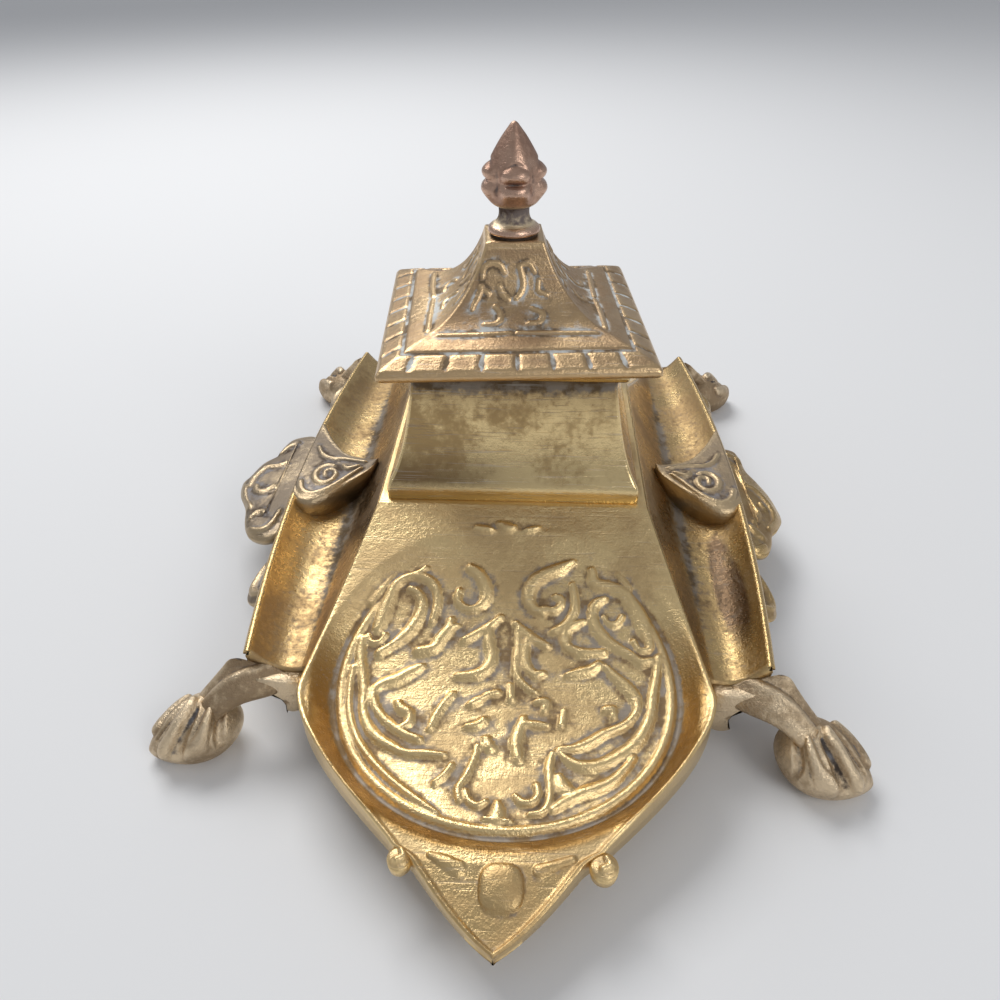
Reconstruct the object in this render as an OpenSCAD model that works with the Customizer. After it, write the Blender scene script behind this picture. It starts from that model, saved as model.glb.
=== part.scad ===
// Desk inkstand: a lidded ink well on a cast stand with two pen troughs,
// a front dish and four claw feet

/* [Stand] */
// Height of the deck that carries the well, above the table
deck_z = 33.5; // [31:0.1:40]
// Half width of the square deck
deck_half = 31; // [31:0.1:34]
// Thickness of the stand's castings
cast_t = 2.6; // [2.2:0.1:3.2]
// Distance from the well's axis to the tip of the dish
front_reach = 119.5; // [117:0.5:125]
// Distance from the well's axis to the back of the rear feet
rear_reach = 84; // [83:0.5:86]
// Open joint line left between neighbouring castings
seam = 0.2; // [0.1:0.05:0.4]

/* [Pen troughs] */
// Half length of each trough
trough_half = 68; // [66:0.5:70]
// Height of the trough floor
floor_z = 18.2; // [17:0.1:20]
// Distance from the middle of the stand to the inner side of the floor
floor_x = 42.5; // [42:0.1:44]
// Distance from the middle of the stand to the outer lip at the ends
lip_x = 52.3; // [51:0.1:54]
// Height of the outer lip
lip_z = 23.3; // [22:0.1:25]
// How far the lip bows outward at the middle
lip_bow = 4.5; // [0:0.1:6]

/* [Front dish] */
// Half width of the dish casting where it is widest
dish_half = 41.8; // [41.6:0.1:42.2]
// Distance from the well's axis to the widest place of the dish
dish_wide_y = 72; // [71:0.5:73]
// Height of the dish floor at the front
dish_z = 12; // [11:0.1:13]
// Half width of the sunk oval field
field_rx = 36.5; // [35:0.1:37]
// Half length of the sunk oval field
field_ry = 32.5; // [31:0.1:33]
// Radius of the round boss near the tip
boss_r = 3.4; // [2:0.1:4]

/* [Well] */
// Half width of the well at the top of its straight part
well_half = 22.7; // [22:0.1:24]
// Half width of the well across its foot
well_foot = 29.1; // [28:0.1:30]
// Height of the well above the deck
well_h = 31.7; // [30:0.1:36]
// Half width of the flange under the lid
flange_half = 25; // [24.5:0.1:26]
// Wall thickness of the well
well_wall = 2.2; // [1.8:0.1:2.6]
// Outer radius of the glass liner
liner_r = 18.8; // [16:0.1:19.2]
// Thickness of the felt pad under the liner
pad_t = 1.5; // [1:0.1:3]

/* [Lid] */
// Half width of the square lid
lid_half = 30; // [28:0.1:32]
// Height of the lid's pyramid, from its seat to the small square top
lid_h = 21; // [19:0.1:24]
// Gap between the lid's seat and the flange when it is shut
seat_gap = 0.2; // [0.1:0.05:0.4]
// Turn of the photographed lid on its worn hinge, in degrees
lid_turn = 4.2; // [0:0.1:4.5]
// Sideways set of the photographed lid on its worn hinge
lid_set = -0.7; // [-1.5:0.1:1.5]

/* [Finial] */
// Height of the finial above the lid's small square top
finial_h = 23; // [20:0.5:26]
// Radius of the bud
bud_r = 7; // [5:0.1:8]
// Radius of the collar
collar_r = 5.8; // [4:0.1:6.2]

/* [Hinge] */
// Radius of the hinge pin
pin_r = 1.2; // [1:0.05:1.3]
// Outer radius of the knuckles
knuckle_r = 2.3; // [2.2:0.05:2.4]
// Half width of the lid's own knuckle
knuckle_half = 4; // [3:0.1:5]
// Half width across the outer knuckles
hinge_half = 11; // [9:0.1:14]

/* [Feet] */
// Radius of the ball of each foot
ball_r = 8.2; // [7.5:0.1:8.6]
// Distance from the middle of the stand to the centre of the ball
ball_x = 63; // [61:0.1:65]
// Distance from the well's axis to the centre of the ball
ball_y = 75.6; // [74:0.1:76]

/* [Screws] */
// Radius of the screw shanks
screw_r = 1.5; // [1:0.1:1.7]
// Radius of the screw heads
head_r = 3; // [2:0.1:3.2]
// Height of the screw heads
head_h = 1.8; // [1:0.1:2]

/* [Hidden] */
$fn = 48;

// Places worked out from the driving dimensions
axis_y = (front_reach - rear_reach) / 2;
neck_y = deck_half - 1;
deck_under = deck_z - 3;
well_top = deck_z + well_h;
lid_seat = well_top + seat_gap;
lid_top = lid_seat + lid_h;
hinge_y = flange_half + 2.7;
hinge_z = lid_seat - 2.5;
field_y = -(deck_half + 5 + field_ry);
screw_hole = screw_r + 0.1;
housing_screw_at = 21.4;
wing_screw_at = [26.6, 10];
apron_screw_at = [9, 26];
foot_screw_at = [47.5, 61];
far = 200;

brass = [0.78, 0.6, 0.28];
old_brass = [0.62, 0.5, 0.3];
copper_brown = [0.5, 0.33, 0.22];

// Points on a cubic curve with two end points and two control points
function curve(a, b, c, d, n) = [for (i = [0:n]) let (t = i / n, s = 1 - t)
    s*s*s * a + 3*s*s*t * b + 3*s*t*t * c + t*t*t * d];

// Right half of a profile, closed by its mirror image
function both_sides(p) = concat(p, [for (i = [len(p)-1:-1:0]) [-p[i][0], p[i][1]]]);

// Edge between the middle castings and a wing: straight by the deck, then flaring
function edge_x(y) = let (s = min(1, max(0, (abs(y) - neck_y) / (dish_wide_y - neck_y))))
    deck_half + (dish_half - deck_half) * (1 - pow(1 - s, 1.15));

// Height of the slope that falls from the deck to the trough floor
function slope_z(x) = floor_z + (deck_z - floor_z)
    * pow(max(0, floor_x - x) / (floor_x - deck_half), 1.3);

// Height of the edge of the front tray and of the rear apron
function edge_z(y) = abs(y) < dish_wide_y ? slope_z(edge_x(y))
    : slope_z(dish_half) - 2.6 * (abs(y) - dish_wide_y) / 33;

// Floor of the dish: it sweeps down from the shoulder and levels out
function dish_floor(y) = let (back = -field_y - field_ry,
                              v = min(1, max(0, (abs(y) - back) / (2 * field_ry))))
    dish_z + (edge_z(back) - dish_z) * pow(1 - v, 2.3);

// Solid skinned over closed rings that all have the same number of points
module loft(rings) {
    n = len(rings[0]);
    m = len(rings);
    sides = [for (i = [0:m-2], j = [0:n-1]) let (a = i*n + j, b = i*n + (j+1) % n)
        each [[a, a+n, b], [b, a+n, b+n]]];
    polyhedron([for (r = rings) each r], concat(sides,
        [[for (j = [0:n-1]) j], [for (j = [n-1:-1:0]) (m-1)*n + j]]), convexity = 8);
}

// Solid with a square plan, whose four faces all follow one profile
module four_sided(profile) {
    intersection() {
        rotate([90, 0, 0]) linear_extrude(far, center = true) polygon(both_sides(profile));
        rotate([90, 0, 90]) linear_extrude(far, center = true) polygon(both_sides(profile));
    }
}

// Side profile of the middle castings, drawn in Y and Z and carried across the stand
module across(points) {
    rotate([90, 0, 90]) linear_extrude(far, center = true) polygon(points);
}

// The stand is drawn about the well's axis and set down with its box in the middle
module placed() translate([0, axis_y, 0]) children();

module left_right(at) for (side = [-1, 1]) translate([side * at[0], at[1], 0]) children();

module four_corners(at) for (x = [-1, 1], y = [-1, 1]) translate([x * at[0], y * at[1], 0]) children();

// Cheese-headed screw driven upward, with its head under z = 0
module screw_up(length) {
    difference() {
        union() {
            translate([0, 0, -head_h]) cylinder(r = head_r, h = head_h);
            cylinder(r = screw_r, h = length);
        }
        translate([-head_r, -0.4, -head_h - 1]) cube([2 * head_r, 0.8, 1.8]);
    }
}

// Front tray

tray_half = concat(
    [[deck_half, deck_half]],
    [for (y = [neck_y:4.2:dish_wide_y]) [edge_x(y), -y]],
    curve([dish_half, -dish_wide_y], [dish_half + 0.6, -dish_wide_y - 8], [30, -92], [19.4, -102.6], 8),
    [[14.8, -105.4]],
    curve([14.8, -105.4], [10, -109.5], [4, -114.5], [0, -front_reach], 5));

tray_top = concat([[deck_half, deck_z]],
    [for (y = [neck_y + 0.5:3:104.5]) [-y, edge_z(y)]],
    [[-105.5, 13.8], [-front_reach, 10.3]]);

tray_under = [for (y = [-104:4:-36]) [y, dish_floor(y) - cast_t]];

// Air above the dish: the oval field, then the slope up to the rim
function dish_ring(k, spread, lift) = [for (a = [0:7.5:359])
    let (x = k * (field_rx + spread) * cos(a), y = field_y + k * (field_ry + spread) * sin(a))
    [x, y, lift == 0 ? dish_floor(y) : lift < 9 ? edge_z(y) + lift : deck_z + lift]];

module dish_air() {
    loft(concat([for (k = [0.02, 0.25, 0.5, 0.7, 0.86, 1]) dish_ring(k, 0, 0)],
        [dish_ring(1, 3, 0.4), dish_ring(1, 3, 10)]));
}

module front_tray() {
    color(brass) difference() {
        union() {
            intersection() {
                linear_extrude(deck_z + 1) polygon(both_sides(tray_half));
                across(concat(tray_top, [[-front_reach, 8.2], [-105, 9.4]], tray_under,
                    [[-neck_y, deck_under], [deck_half, deck_under]]));
            }
            for (side = [-1, 1]) translate([side * 17.6, -104.4, 9.6]) cylinder(r = 2.4, h = 4);
            translate([0, -109, 9]) cylinder(r = boss_r, h = 5);
        }
        dish_air();
        four_corners([housing_screw_at, housing_screw_at])
            translate([0, 0, deck_under - 1]) cylinder(r = screw_hole, h = 5);
        four_corners(wing_screw_at) translate([0, 0, deck_under - 1]) cylinder(r = screw_hole, h = 3.2);
        left_right(apron_screw_at) translate([0, 0, deck_under - 1]) cylinder(r = screw_hole, h = 3.2);
    }
}

// Rear apron, the plain slope behind the well

apron_end = 64;
apron_half = [for (y = [deck_half + seam:4.1:apron_end]) [edge_x(y), y]];
apron_top = [for (y = [deck_half + seam:3:apron_end]) [y, edge_z(y)]];
apron_under = [for (i = [len(apron_top)-1:-1:0]) apron_top[i] - [0, 3.4]];

module rear_apron() {
    color(brass) difference() {
        union() {
            difference() {
                intersection() {
                    linear_extrude(deck_z + 1) polygon(both_sides(apron_half));
                    across(concat(apron_top, apron_under));
                }
                translate([0, apron_end + 34, 0]) cylinder(r = 40, h = deck_z);
            }
            translate([-15, deck_half - 9, deck_under - cast_t]) cube([30, 11, cast_t]);
        }
        left_right(apron_screw_at) translate([0, 0, deck_under - 5]) cylinder(r = screw_hole, h = 6);
    }
}

// Wings, each a pen trough with a saddle, a scroll bracket and two leaf tabs

function bow(y) = lip_bow * (1 - pow(y / trough_half, 2));

// Cross-section of a wing at one place along it, as a ring of points
function wing_ring(y) = let (
    from = edge_x(y) + seam,
    wall = [for (i = [0:6]) let (x = from + (floor_x - from) * i / 7) [x, slope_z(x)]],
    trough = curve([floor_x, floor_z], [floor_x + 5 + bow(y) / 2, floor_z - 1],
        [lip_x - 3 + bow(y), floor_z + 1.2], [lip_x + bow(y), lip_z], 8),
    steep = [for (p = wall) 1.3 * (deck_z - floor_z) / (floor_x - deck_half)
        * pow((floor_x - p[0]) / (floor_x - deck_half), 0.3)],
    wall_under = [for (i = [0:6]) wall[i] - [0, cast_t * sqrt(1 + steep[i] * steep[i])]],
    run = [for (i = [0:8]) trough[min(8, i + 1)] - trough[max(0, i - 1)]],
    trough_under = [for (i = [0:7]) trough[i] + cast_t * [run[i][1], -run[i][0]] / norm(run[i])],
    nose = [[lip_x + bow(y) + 0.9, lip_z - 0.1], [lip_x + bow(y) + 1.4, lip_z - 1]],
    ring = concat(wall, trough, nose,
        [for (i = [7:-1:0]) trough_under[i]], [for (i = [6:-1:0]) wall_under[i]]))
    [for (p = ring) [p[0], y, p[1]]];

// Leaf-shaped ring of the saddle: an oval drawn out to a point toward the deck
saddle_at = [46.5, 5.5];
saddle_r = [10.5, 12];
function saddle_z(x) = 24.6 - 0.17 * (x - 37);
function saddle_ring(k, drop) = [for (a = [0:15:359])
    let (point = 1 + 0.2 * pow(max(0, -cos(a)), 6),
         x = saddle_at[0] + k * saddle_r[0] * point * cos(a))
    [x, saddle_at[1] + k * saddle_r[1] * sin(a) * (1 - 0.25 * max(0, -cos(a))),
        drop > 5 ? floor_z - 1.5 : saddle_z(x) - drop]];

module saddle() {
    loft([saddle_ring(0.96, 9), saddle_ring(1, 1.6), saddle_ring(0.95, 0.5),
        saddle_ring(0.75, 0.1), saddle_ring(0.3, 0)]);
}

// Bracket outside the saddle: three round lobes, the middle one drawn to a point
module scroll_bracket() {
    translate([56, 0, 17.5]) rotate([0, 22, 0]) translate([0, 0, -4.4]) linear_extrude(4.4) {
        polygon([[-2, -17], [4, -17.5], [9, -10], [13, -4], [18.6, 0.5], [12.6, 6], [8, 11],
            [6, 19], [-2, 16]]);
        translate([9, -14.5]) circle(r = 4.6);
        translate([12.6, 0.5]) circle(r = 4.8);
        translate([6.6, 15.4]) circle(r = 4.2);
    }
}

module leaf_tab(y) {
    translate([lip_x + bow(y), y, 18.6]) rotate([0, 36, 0]) translate([0, 0, -2.6]) linear_extrude(2.6) {
        polygon([[-1.5, -5], [6.5, -2.6], [6.5, 2.6], [-1.5, 5]]);
        translate([6.4, 0]) circle(r = 3);
    }
}

module wing() {
    color(brass) difference() {
        union() {
            loft([for (y = [-trough_half:8:trough_half]) wing_ring(y)]);
            saddle();
            scroll_bracket();
            leaf_tab(-40);
            leaf_tab(40);
            translate([22.8, -16, deck_under - cast_t]) cube([deck_half - 21, 32, cast_t]);
        }
        for (y = [-1, 1]) translate([wing_screw_at[0], y * wing_screw_at[1], deck_under - 5])
            cylinder(r = screw_hole, h = 6);
        for (y = [-1, 1]) translate([foot_screw_at[0], y * foot_screw_at[1], 10])
            cylinder(r = screw_hole, h = 7.4);
    }
}

module right_wing() wing();

module left_wing() mirror([1, 0, 0]) wing();

// Feet: a leg that grows from the trough's end, a ball, and talons laid over it

toe_aim = -21;

// Oval ring across a limb: centre, heading in plan, half width, half height, lean
function limb_ring(at, heading, a, b, lean) = [for (t = [0:22.5:359])
    [at[0] - sin(heading) * a * cos(t), at[1] + cos(heading) * a * cos(t),
     at[2] + b * sin(t) + lean * a * cos(t)]];

leg_rings = [
    limb_ring([49.3, -trough_half - 0.1, 16.9], -90, 6.4, 2.4, 0.42),
    limb_ring([52.8, -70.2, 16.5], -66, 5.6, 2.7, 0.3),
    limb_ring([56.2, -72, 15.2], -45, 4.8, 3, 0.12),
    limb_ring([59.6, -73.8, 13], -35, 4.4, 3.4, 0),
    limb_ring([62.4, -75.2, 10], -30, 4.6, 3.6, 0)];

// Cross-section of the paw: an egg from heel to toe, with ridges for the talons
function paw_ring(s) = let (
    full = pow(sin(180 * pow(s, 0.8)), 0.65),
    along = -0.98 * ball_r + 2.45 * ball_r * s,
    drop = 4.4 * pow(s, 1.6))
    [for (t = [0:15:359]) let (ridge = 1 + 0.1 * cos(5 * (t - 90)) * max(0, sin(t)),
        a = ball_r * full * ridge * cos(t))
    [ball_x + along * cos(toe_aim) - a * sin(toe_aim),
     -ball_y + along * sin(toe_aim) + a * cos(toe_aim),
     ball_r - 0.6 - drop + 0.95 * ball_r * full * ridge * sin(t)]];

// Arched bracket across the trough's end, with a round drop beside the dish
module end_arch() {
    translate([0, -trough_half - 0.1, 0]) rotate([90, 0, 0]) linear_extrude(3.2) difference() {
        union() {
            polygon([[42.2, 11], [42.2, 17.6], [46, 17.6], [51, 18.2], [51, 14]]);
            translate([44.8, 10.4]) circle(r = 2.8);
        }
        translate([51.6, 9.4]) circle(r = 5.6);
    }
}

module foot() {
    color(old_brass) difference() {
        union() {
            loft(leg_rings);
            loft([for (s = [0.02, 0.1, 0.22, 0.36, 0.5, 0.64, 0.78, 0.9, 0.98]) paw_ring(s)]);
            end_arch();
            translate([43.6, -trough_half - 1, 12.8]) cube([8, 13, 2.4]);
        }
        translate([ball_x - 20, -ball_y - 20, -10]) cube([40, 40, 10]);
        translate([foot_screw_at[0], -foot_screw_at[1], 10]) cylinder(r = screw_hole, h = 8);
    }
}

module foot_front_right() foot();

module foot_front_left() mirror([1, 0, 0]) foot();

module foot_rear_right() mirror([0, 1, 0]) foot();

module foot_rear_left() mirror([1, 0, 0]) mirror([0, 1, 0]) foot();

module foot_screws() {
    color(old_brass) four_corners(foot_screw_at) translate([0, 0, 12.8]) screw_up(4.4);
}

module wing_screws() {
    color(old_brass) four_corners(wing_screw_at) translate([0, 0, deck_under - cast_t])
        screw_up(cast_t + 2);
}

module apron_screws() {
    color(old_brass) left_right(apron_screw_at) translate([0, 0, deck_under - cast_t])
        screw_up(cast_t + 2);
}

// Well housing with its flange, its screw lugs and the fixed half of the hinge

well_curve = curve([28.4, 38.2], [25.6, 42.5], [24.2, 50], [well_half, well_top - 4.7], 7);
well_outside = concat([[well_foot, deck_z], [well_foot, 36.8], [28.9, 37.6]], well_curve,
    [[well_half, well_top - 3.6], [well_half + 0.8, well_top - 2.8], [flange_half, well_top - 2.5],
     [flange_half, well_top]]);
well_inside = concat([[well_foot - well_wall, deck_z - 1], [well_foot - well_wall, 36.4]],
    [for (p = well_curve) p - [well_wall, 0]], [[well_half - well_wall, well_top + 1]]);

// Side view of a lug that carries a knuckle; its back face stops the open lid
module hinge_lug(from, to) {
    translate([from, 0, 0]) rotate([90, 0, 90]) linear_extrude(to - from)
        polygon([[well_half - 1, hinge_z - 10], [hinge_y + 1.7, hinge_z - 4],
            [hinge_y + 1.7, hinge_z], [hinge_y, hinge_z + 1], [flange_half - 1, hinge_z + 1]]);
    translate([from, hinge_y, hinge_z]) rotate([0, 90, 0]) cylinder(r = knuckle_r, h = to - from);
}

module well_housing() {
    color(brass) difference() {
        union() {
            difference() {
                four_sided(well_outside);
                four_sided(well_inside);
            }
            four_corners([housing_screw_at, housing_screw_at]) intersection() {
                translate([-3.4, -3.4, deck_z]) cube([6.8, 6.8, 9]);
                translate([0, 0, deck_z]) cylinder(r = 4.4, h = 9);
            }
            hinge_lug(-hinge_half, -knuckle_half - 0.2);
            hinge_lug(knuckle_half + 0.2, hinge_half);
        }
        four_corners([housing_screw_at, housing_screw_at])
            translate([0, 0, deck_z - 1]) cylinder(r = screw_hole, h = 8.5);
        translate([-far / 2, hinge_y, hinge_z]) rotate([0, 90, 0]) cylinder(r = pin_r + 0.02, h = far);
    }
}

module housing_screws() {
    color(old_brass) four_corners([housing_screw_at, housing_screw_at])
        translate([0, 0, deck_under]) screw_up(9.6);
}

module hinge_pin() {
    color(old_brass) translate([-hinge_half - 0.4, hinge_y, hinge_z]) rotate([0, 90, 0])
        cylinder(r = pin_r, h = 2 * hinge_half + 0.8);
}

// Ink liner and the pad that it stands on

module liner_pad() {
    color([0.2, 0.3, 0.22]) translate([0, 0, deck_z]) cylinder(r = liner_r - 1.2, h = pad_t);
}

module ink_liner() {
    foot_z = deck_z + pad_t;
    rim_z = well_top - 2.4;
    color([0.75, 0.85, 0.85, 0.5]) rotate_extrude() polygon(concat(
        [[0, foot_z], [liner_r - 1.6, foot_z], [liner_r, foot_z + 1.6], [liner_r, rim_z - 4],
         [liner_r + 0.8, rim_z - 3], [liner_r + 0.8, rim_z - 0.6], [liner_r + 0.2, rim_z],
         [liner_r - 2.4, rim_z], [liner_r - 2.8, rim_z - 1]],
        curve([liner_r - 2.8, foot_z + 7], [liner_r - 2.8, foot_z + 4.4],
            [liner_r - 4.4, foot_z + 3.4], [liner_r - 8, foot_z + 3.4], 5),
        [[0, foot_z + 3.4]]));
}

// Lid: a hollow pyramid with hollow sides on a square rim, and its knuckle

lid_curve = curve([20.2, lid_seat + 5.4], [13.5, lid_seat + 6.6], [8.8, lid_seat + 13.1],
    [6.4, lid_top], 8);
lid_outside = concat([[lid_half, lid_seat], [lid_half, lid_seat + 1.5], [lid_half - 0.6, lid_seat + 2.1],
    [24, lid_seat + 4.6]], lid_curve);
lid_inside = concat([[20.2, lid_seat - 1], [20.2, lid_seat + 2.2]],
    curve([17.8, lid_seat + 3.4], [11.4, lid_seat + 4.8], [7, lid_seat + 11], [5.4, lid_top - 3.6], 6));

// The lid sits a little askew on its worn hinge
module askew() translate([lid_set, 0, 0]) rotate([0, 0, lid_turn]) children();

module lid() {
    color(brass) difference() {
        union() {
            askew() difference() {
                four_sided(lid_outside);
                four_sided(lid_inside);
            }
            translate([-knuckle_half, hinge_y, hinge_z]) rotate([0, 90, 0])
                cylinder(r = knuckle_r, h = 2 * knuckle_half);
            translate([-knuckle_half, hinge_y - 1.5, hinge_z]) cube([2 * knuckle_half, 3.3, 3.2]);
        }
        translate([-far / 2, hinge_y, hinge_z]) rotate([0, 90, 0]) cylinder(r = pin_r + 0.05, h = far);
        askew() translate([0, 0, lid_top - 5]) cylinder(r = 2, h = 10);
    }
}

// Finial: turned collar and neck, then a bud of four petals drawn up to a point
washer_t = 0.4;
finial_z = lid_top + washer_t;
bud_z = finial_z + 5.2;
bud_h = finial_h - washer_t - 5.2;

// Bud radius by height: full and four-lobed low down, then drawn in to the tip
function bud_at(t, a) = let (full = pow(sin(180 * pow(t, 0.62)), 0.8),
    lobe = 0.07 * cos(4 * a) * max(0, 1 - abs(t - 0.36) / 0.3))
    max(0.25, bud_r * (full * (t < 0.4 ? 1 : 1 - 0.12 * (t - 0.4)) + lobe));

module finial() {
    color(copper_brown) askew() {
        translate([0, 0, finial_z]) rotate_extrude() polygon(concat(
            [[0, 0], [collar_r - 0.4, 0], [collar_r, 0.6], [collar_r - 0.3, 1.5]],
            curve([collar_r - 1.6, 2], [3.6, 2.6], [3, 3.6], [3.5, 6], 5), [[0, 6]]));
        translate([0, 0, finial_z - 9.4]) cylinder(r = 1.9, h = 10);
        loft([for (i = [0:14]) let (t = 0.03 + 0.97 * i / 14)
            [for (a = [0:15:359]) [bud_at(t, a) * cos(a), bud_at(t, a) * sin(a), bud_z + bud_h * t]]]);
    }
}

module finial_washer() {
    color([0.15, 0.12, 0.1]) askew() translate([0, 0, lid_top]) difference() {
        cylinder(r = collar_r - 0.6, h = washer_t);
        translate([0, 0, -1]) cylinder(r = 2, h = 3);
    }
}

module finial_nut() {
    color(old_brass) askew() translate([0, 0, lid_top - 6.2]) difference() {
        cylinder(r = 4, h = 2.6, $fn = 6);
        translate([0, 0, -1]) cylinder(r = 1.95, h = 5);
    }
}

placed() front_tray();
placed() rear_apron();
placed() left_wing();
placed() right_wing();
placed() foot_front_left();
placed() foot_front_right();
placed() foot_rear_left();
placed() foot_rear_right();
placed() foot_screws();
placed() wing_screws();
placed() apron_screws();
placed() well_housing();
placed() housing_screws();
placed() liner_pad();
placed() ink_liner();
placed() hinge_pin();
placed() lid();
placed() finial();
placed() finial_washer();
placed() finial_nut();
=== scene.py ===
# %% [markdown]
# # A cast brass desk inkstand
#
# The CAD frame already holds every casting, screw and hinge part at its real size. This lesson
# dresses that frame: it lays finer surfaces over the plain castings, with the relief that a
# foundry pattern leaves, and gives each one the finish of old brass that has been polished by
# hand for a century. Everything is worked out about the axis of the ink well, in millimetres,
# and turned into metres only when a mesh is made.

import bpy
import numpy as np
from mathutils import Matrix


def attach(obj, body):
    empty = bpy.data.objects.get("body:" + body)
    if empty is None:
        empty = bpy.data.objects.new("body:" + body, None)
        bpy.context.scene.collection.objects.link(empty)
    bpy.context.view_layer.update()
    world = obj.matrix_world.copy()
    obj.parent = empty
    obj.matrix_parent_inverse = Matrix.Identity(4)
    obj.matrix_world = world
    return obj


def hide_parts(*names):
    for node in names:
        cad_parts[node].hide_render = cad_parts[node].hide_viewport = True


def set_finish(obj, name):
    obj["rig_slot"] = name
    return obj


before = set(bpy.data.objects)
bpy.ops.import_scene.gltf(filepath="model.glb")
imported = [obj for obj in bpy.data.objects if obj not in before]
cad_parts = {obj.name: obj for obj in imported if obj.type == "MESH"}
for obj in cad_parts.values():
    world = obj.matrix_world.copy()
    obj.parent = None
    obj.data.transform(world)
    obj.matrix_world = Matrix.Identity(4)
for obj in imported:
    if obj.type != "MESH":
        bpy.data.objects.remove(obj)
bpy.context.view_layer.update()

# %% [markdown]
# ## The camera
#
# The photograph was taken with a wide lens, close in front of the tray and about 37 degrees
# above the table. A wrong lens would make the lid look too small against the dish, so the
# camera's place was worked out first, from points whose real places are known.

# %% The camera
MM = 0.001
WELL_Y = 17.75      # how far the well's axis lies behind the frame's origin, in mm
FOCAL = 0.7949      # focal length as a share of the picture's width
EYE = (4.7, -177.2, 144.1)
PITCH, YAW, ROLL = np.radians((36.59, -2.91, -0.47))


def camera_axes():
    """Right, up and view directions of the camera from its pitch, yaw and roll."""
    view = np.array((np.sin(YAW) * np.cos(PITCH), np.cos(YAW) * np.cos(PITCH), -np.sin(PITCH)))
    level = np.array((np.cos(YAW), -np.sin(YAW), 0.0))
    upright = np.cross(level, view)
    right = np.cos(ROLL) * level + np.sin(ROLL) * upright
    up = -np.sin(ROLL) * level + np.cos(ROLL) * upright
    return right, up, view


right, up, view = camera_axes()
lens = bpy.data.cameras.new("photo_camera")
lens.sensor_fit = "HORIZONTAL"
lens.sensor_width = 36
lens.lens = 36 * FOCAL
lens.clip_start = 0.005
lens.clip_end = 60
camera = bpy.data.objects.new("photo_camera", lens)
turn = Matrix(np.column_stack((right, up, -view)).tolist()).to_4x4()
camera.matrix_world = Matrix.Translation((EYE[0] * MM, (EYE[1] + WELL_Y) * MM, EYE[2] * MM)) @ turn
bpy.context.scene.collection.objects.link(camera)
bpy.context.scene.camera = camera
bpy.context.scene.view_settings.view_transform = "Standard"
print("camera at", [round(v, 4) for v in camera.location], "lens", round(lens.lens, 2), "mm")

# %% [markdown]
# ## Floor and light
#
# Polished metal shows what stands around it, so the light matters more than for wood or cloth.
# A plain pale floor and a dim even sky give the brass its body colour. Two large soft lamps
# give it the broad highlights that tell the eye where a surface turns.

# %% Floor and light
def plain_material(name, colour, roughness):
    """One even colour, set on the shader itself, for the floor under the object."""
    material = bpy.data.materials.new(name)
    material.use_nodes = True
    shader = material.node_tree.nodes["Principled BSDF"]
    shader.inputs["Base Color"].default_value = (*colour, 1)
    shader.inputs["Roughness"].default_value = roughness
    return material


def soft_lamp(name, place, aim, size, power):
    """A flat area lamp at place, turned so that its face looks at aim. Places and sizes
    are in metres and the power is in watts."""
    light = bpy.data.lights.new(name, "AREA")
    light.shape = "RECTANGLE"
    light.size, light.size_y = size
    light.energy = power
    lamp = bpy.data.objects.new(name, light)
    away = np.array(place) - np.array(aim)
    away = away / np.linalg.norm(away)
    side = np.cross((0, 0, 1), away)
    side = side / np.linalg.norm(side)
    turn = Matrix(np.column_stack((side, np.cross(away, side), away)).tolist()).to_4x4()
    lamp.matrix_world = Matrix.Translation(place) @ turn
    bpy.context.scene.collection.objects.link(lamp)


floor_mesh = bpy.data.meshes.new("floor")
floor_mesh.from_pydata([(-9, -9, 0), (9, -9, 0), (9, 9, 0), (-9, 9, 0)], [], [(0, 1, 2, 3)])
floor = bpy.data.objects.new("floor", floor_mesh)
floor.data.materials.append(plain_material("floor_paint", (0.78, 0.78, 0.78), 0.75))
bpy.context.scene.collection.objects.link(floor)

soft_lamp("window", (-0.35, 0.55, 0.85), (0, 0, 0.03), (0.7, 0.5), 7)
soft_lamp("front_fill", (0.7, -0.7, 0.7), (0, 0, 0.03), (0.5, 0.5), 3)
world = bpy.data.worlds.new("studio")
world.use_nodes = True
bpy.context.scene.world = world
world.node_tree.nodes["Background"].inputs["Color"].default_value = (0.62, 0.64, 0.68, 1)
world.node_tree.nodes["Background"].inputs["Strength"].default_value = 0.6

# %% [markdown]
# ## Meshes from grids
#
# Every casting here is a surface of two parameters: one runs along the piece and the other
# across it. Numpy works out all the points at once, and one helper makes the mesh. The helper
# also measures how far each point stands out from its surroundings. Hands and polishing
# cloths rub the places that stand out, and dirt stays in the places that lie back, so the
# materials use that measure.

# %% Helpers that measure a grid
def neighbours(grid):
    """Mean of the four neighbours of each point. Rows end at the grid's edge, and each row
    is a closed ring."""
    down = np.concatenate((grid[1:], grid[-1:]))
    up_one = np.concatenate((grid[:1], grid[:-1]))
    return (down + up_one + np.roll(grid, 1, 1) + np.roll(grid, -1, 1)) / 4


def grid_normals(grid, around):
    """Unit normals: cross product of the steps along the rows and along the columns."""
    along = np.gradient(grid, axis=0)
    if around:
        across = (np.roll(grid, -1, 1) - np.roll(grid, 1, 1)) / 2
    else:
        across = np.gradient(grid, axis=1)
    normal = np.cross(across, along)
    return normal / np.maximum(np.linalg.norm(normal, axis=-1, keepdims=True), 1e-9)


def relief_measure(grid, rounds=12):
    """How far each point lies in front of the surface smoothed over its neighbourhood, in mm."""
    smooth = grid
    for _ in range(rounds):
        smooth = neighbours(smooth)
    return ((grid - smooth) * grid_normals(grid, True)).sum(-1)


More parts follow.
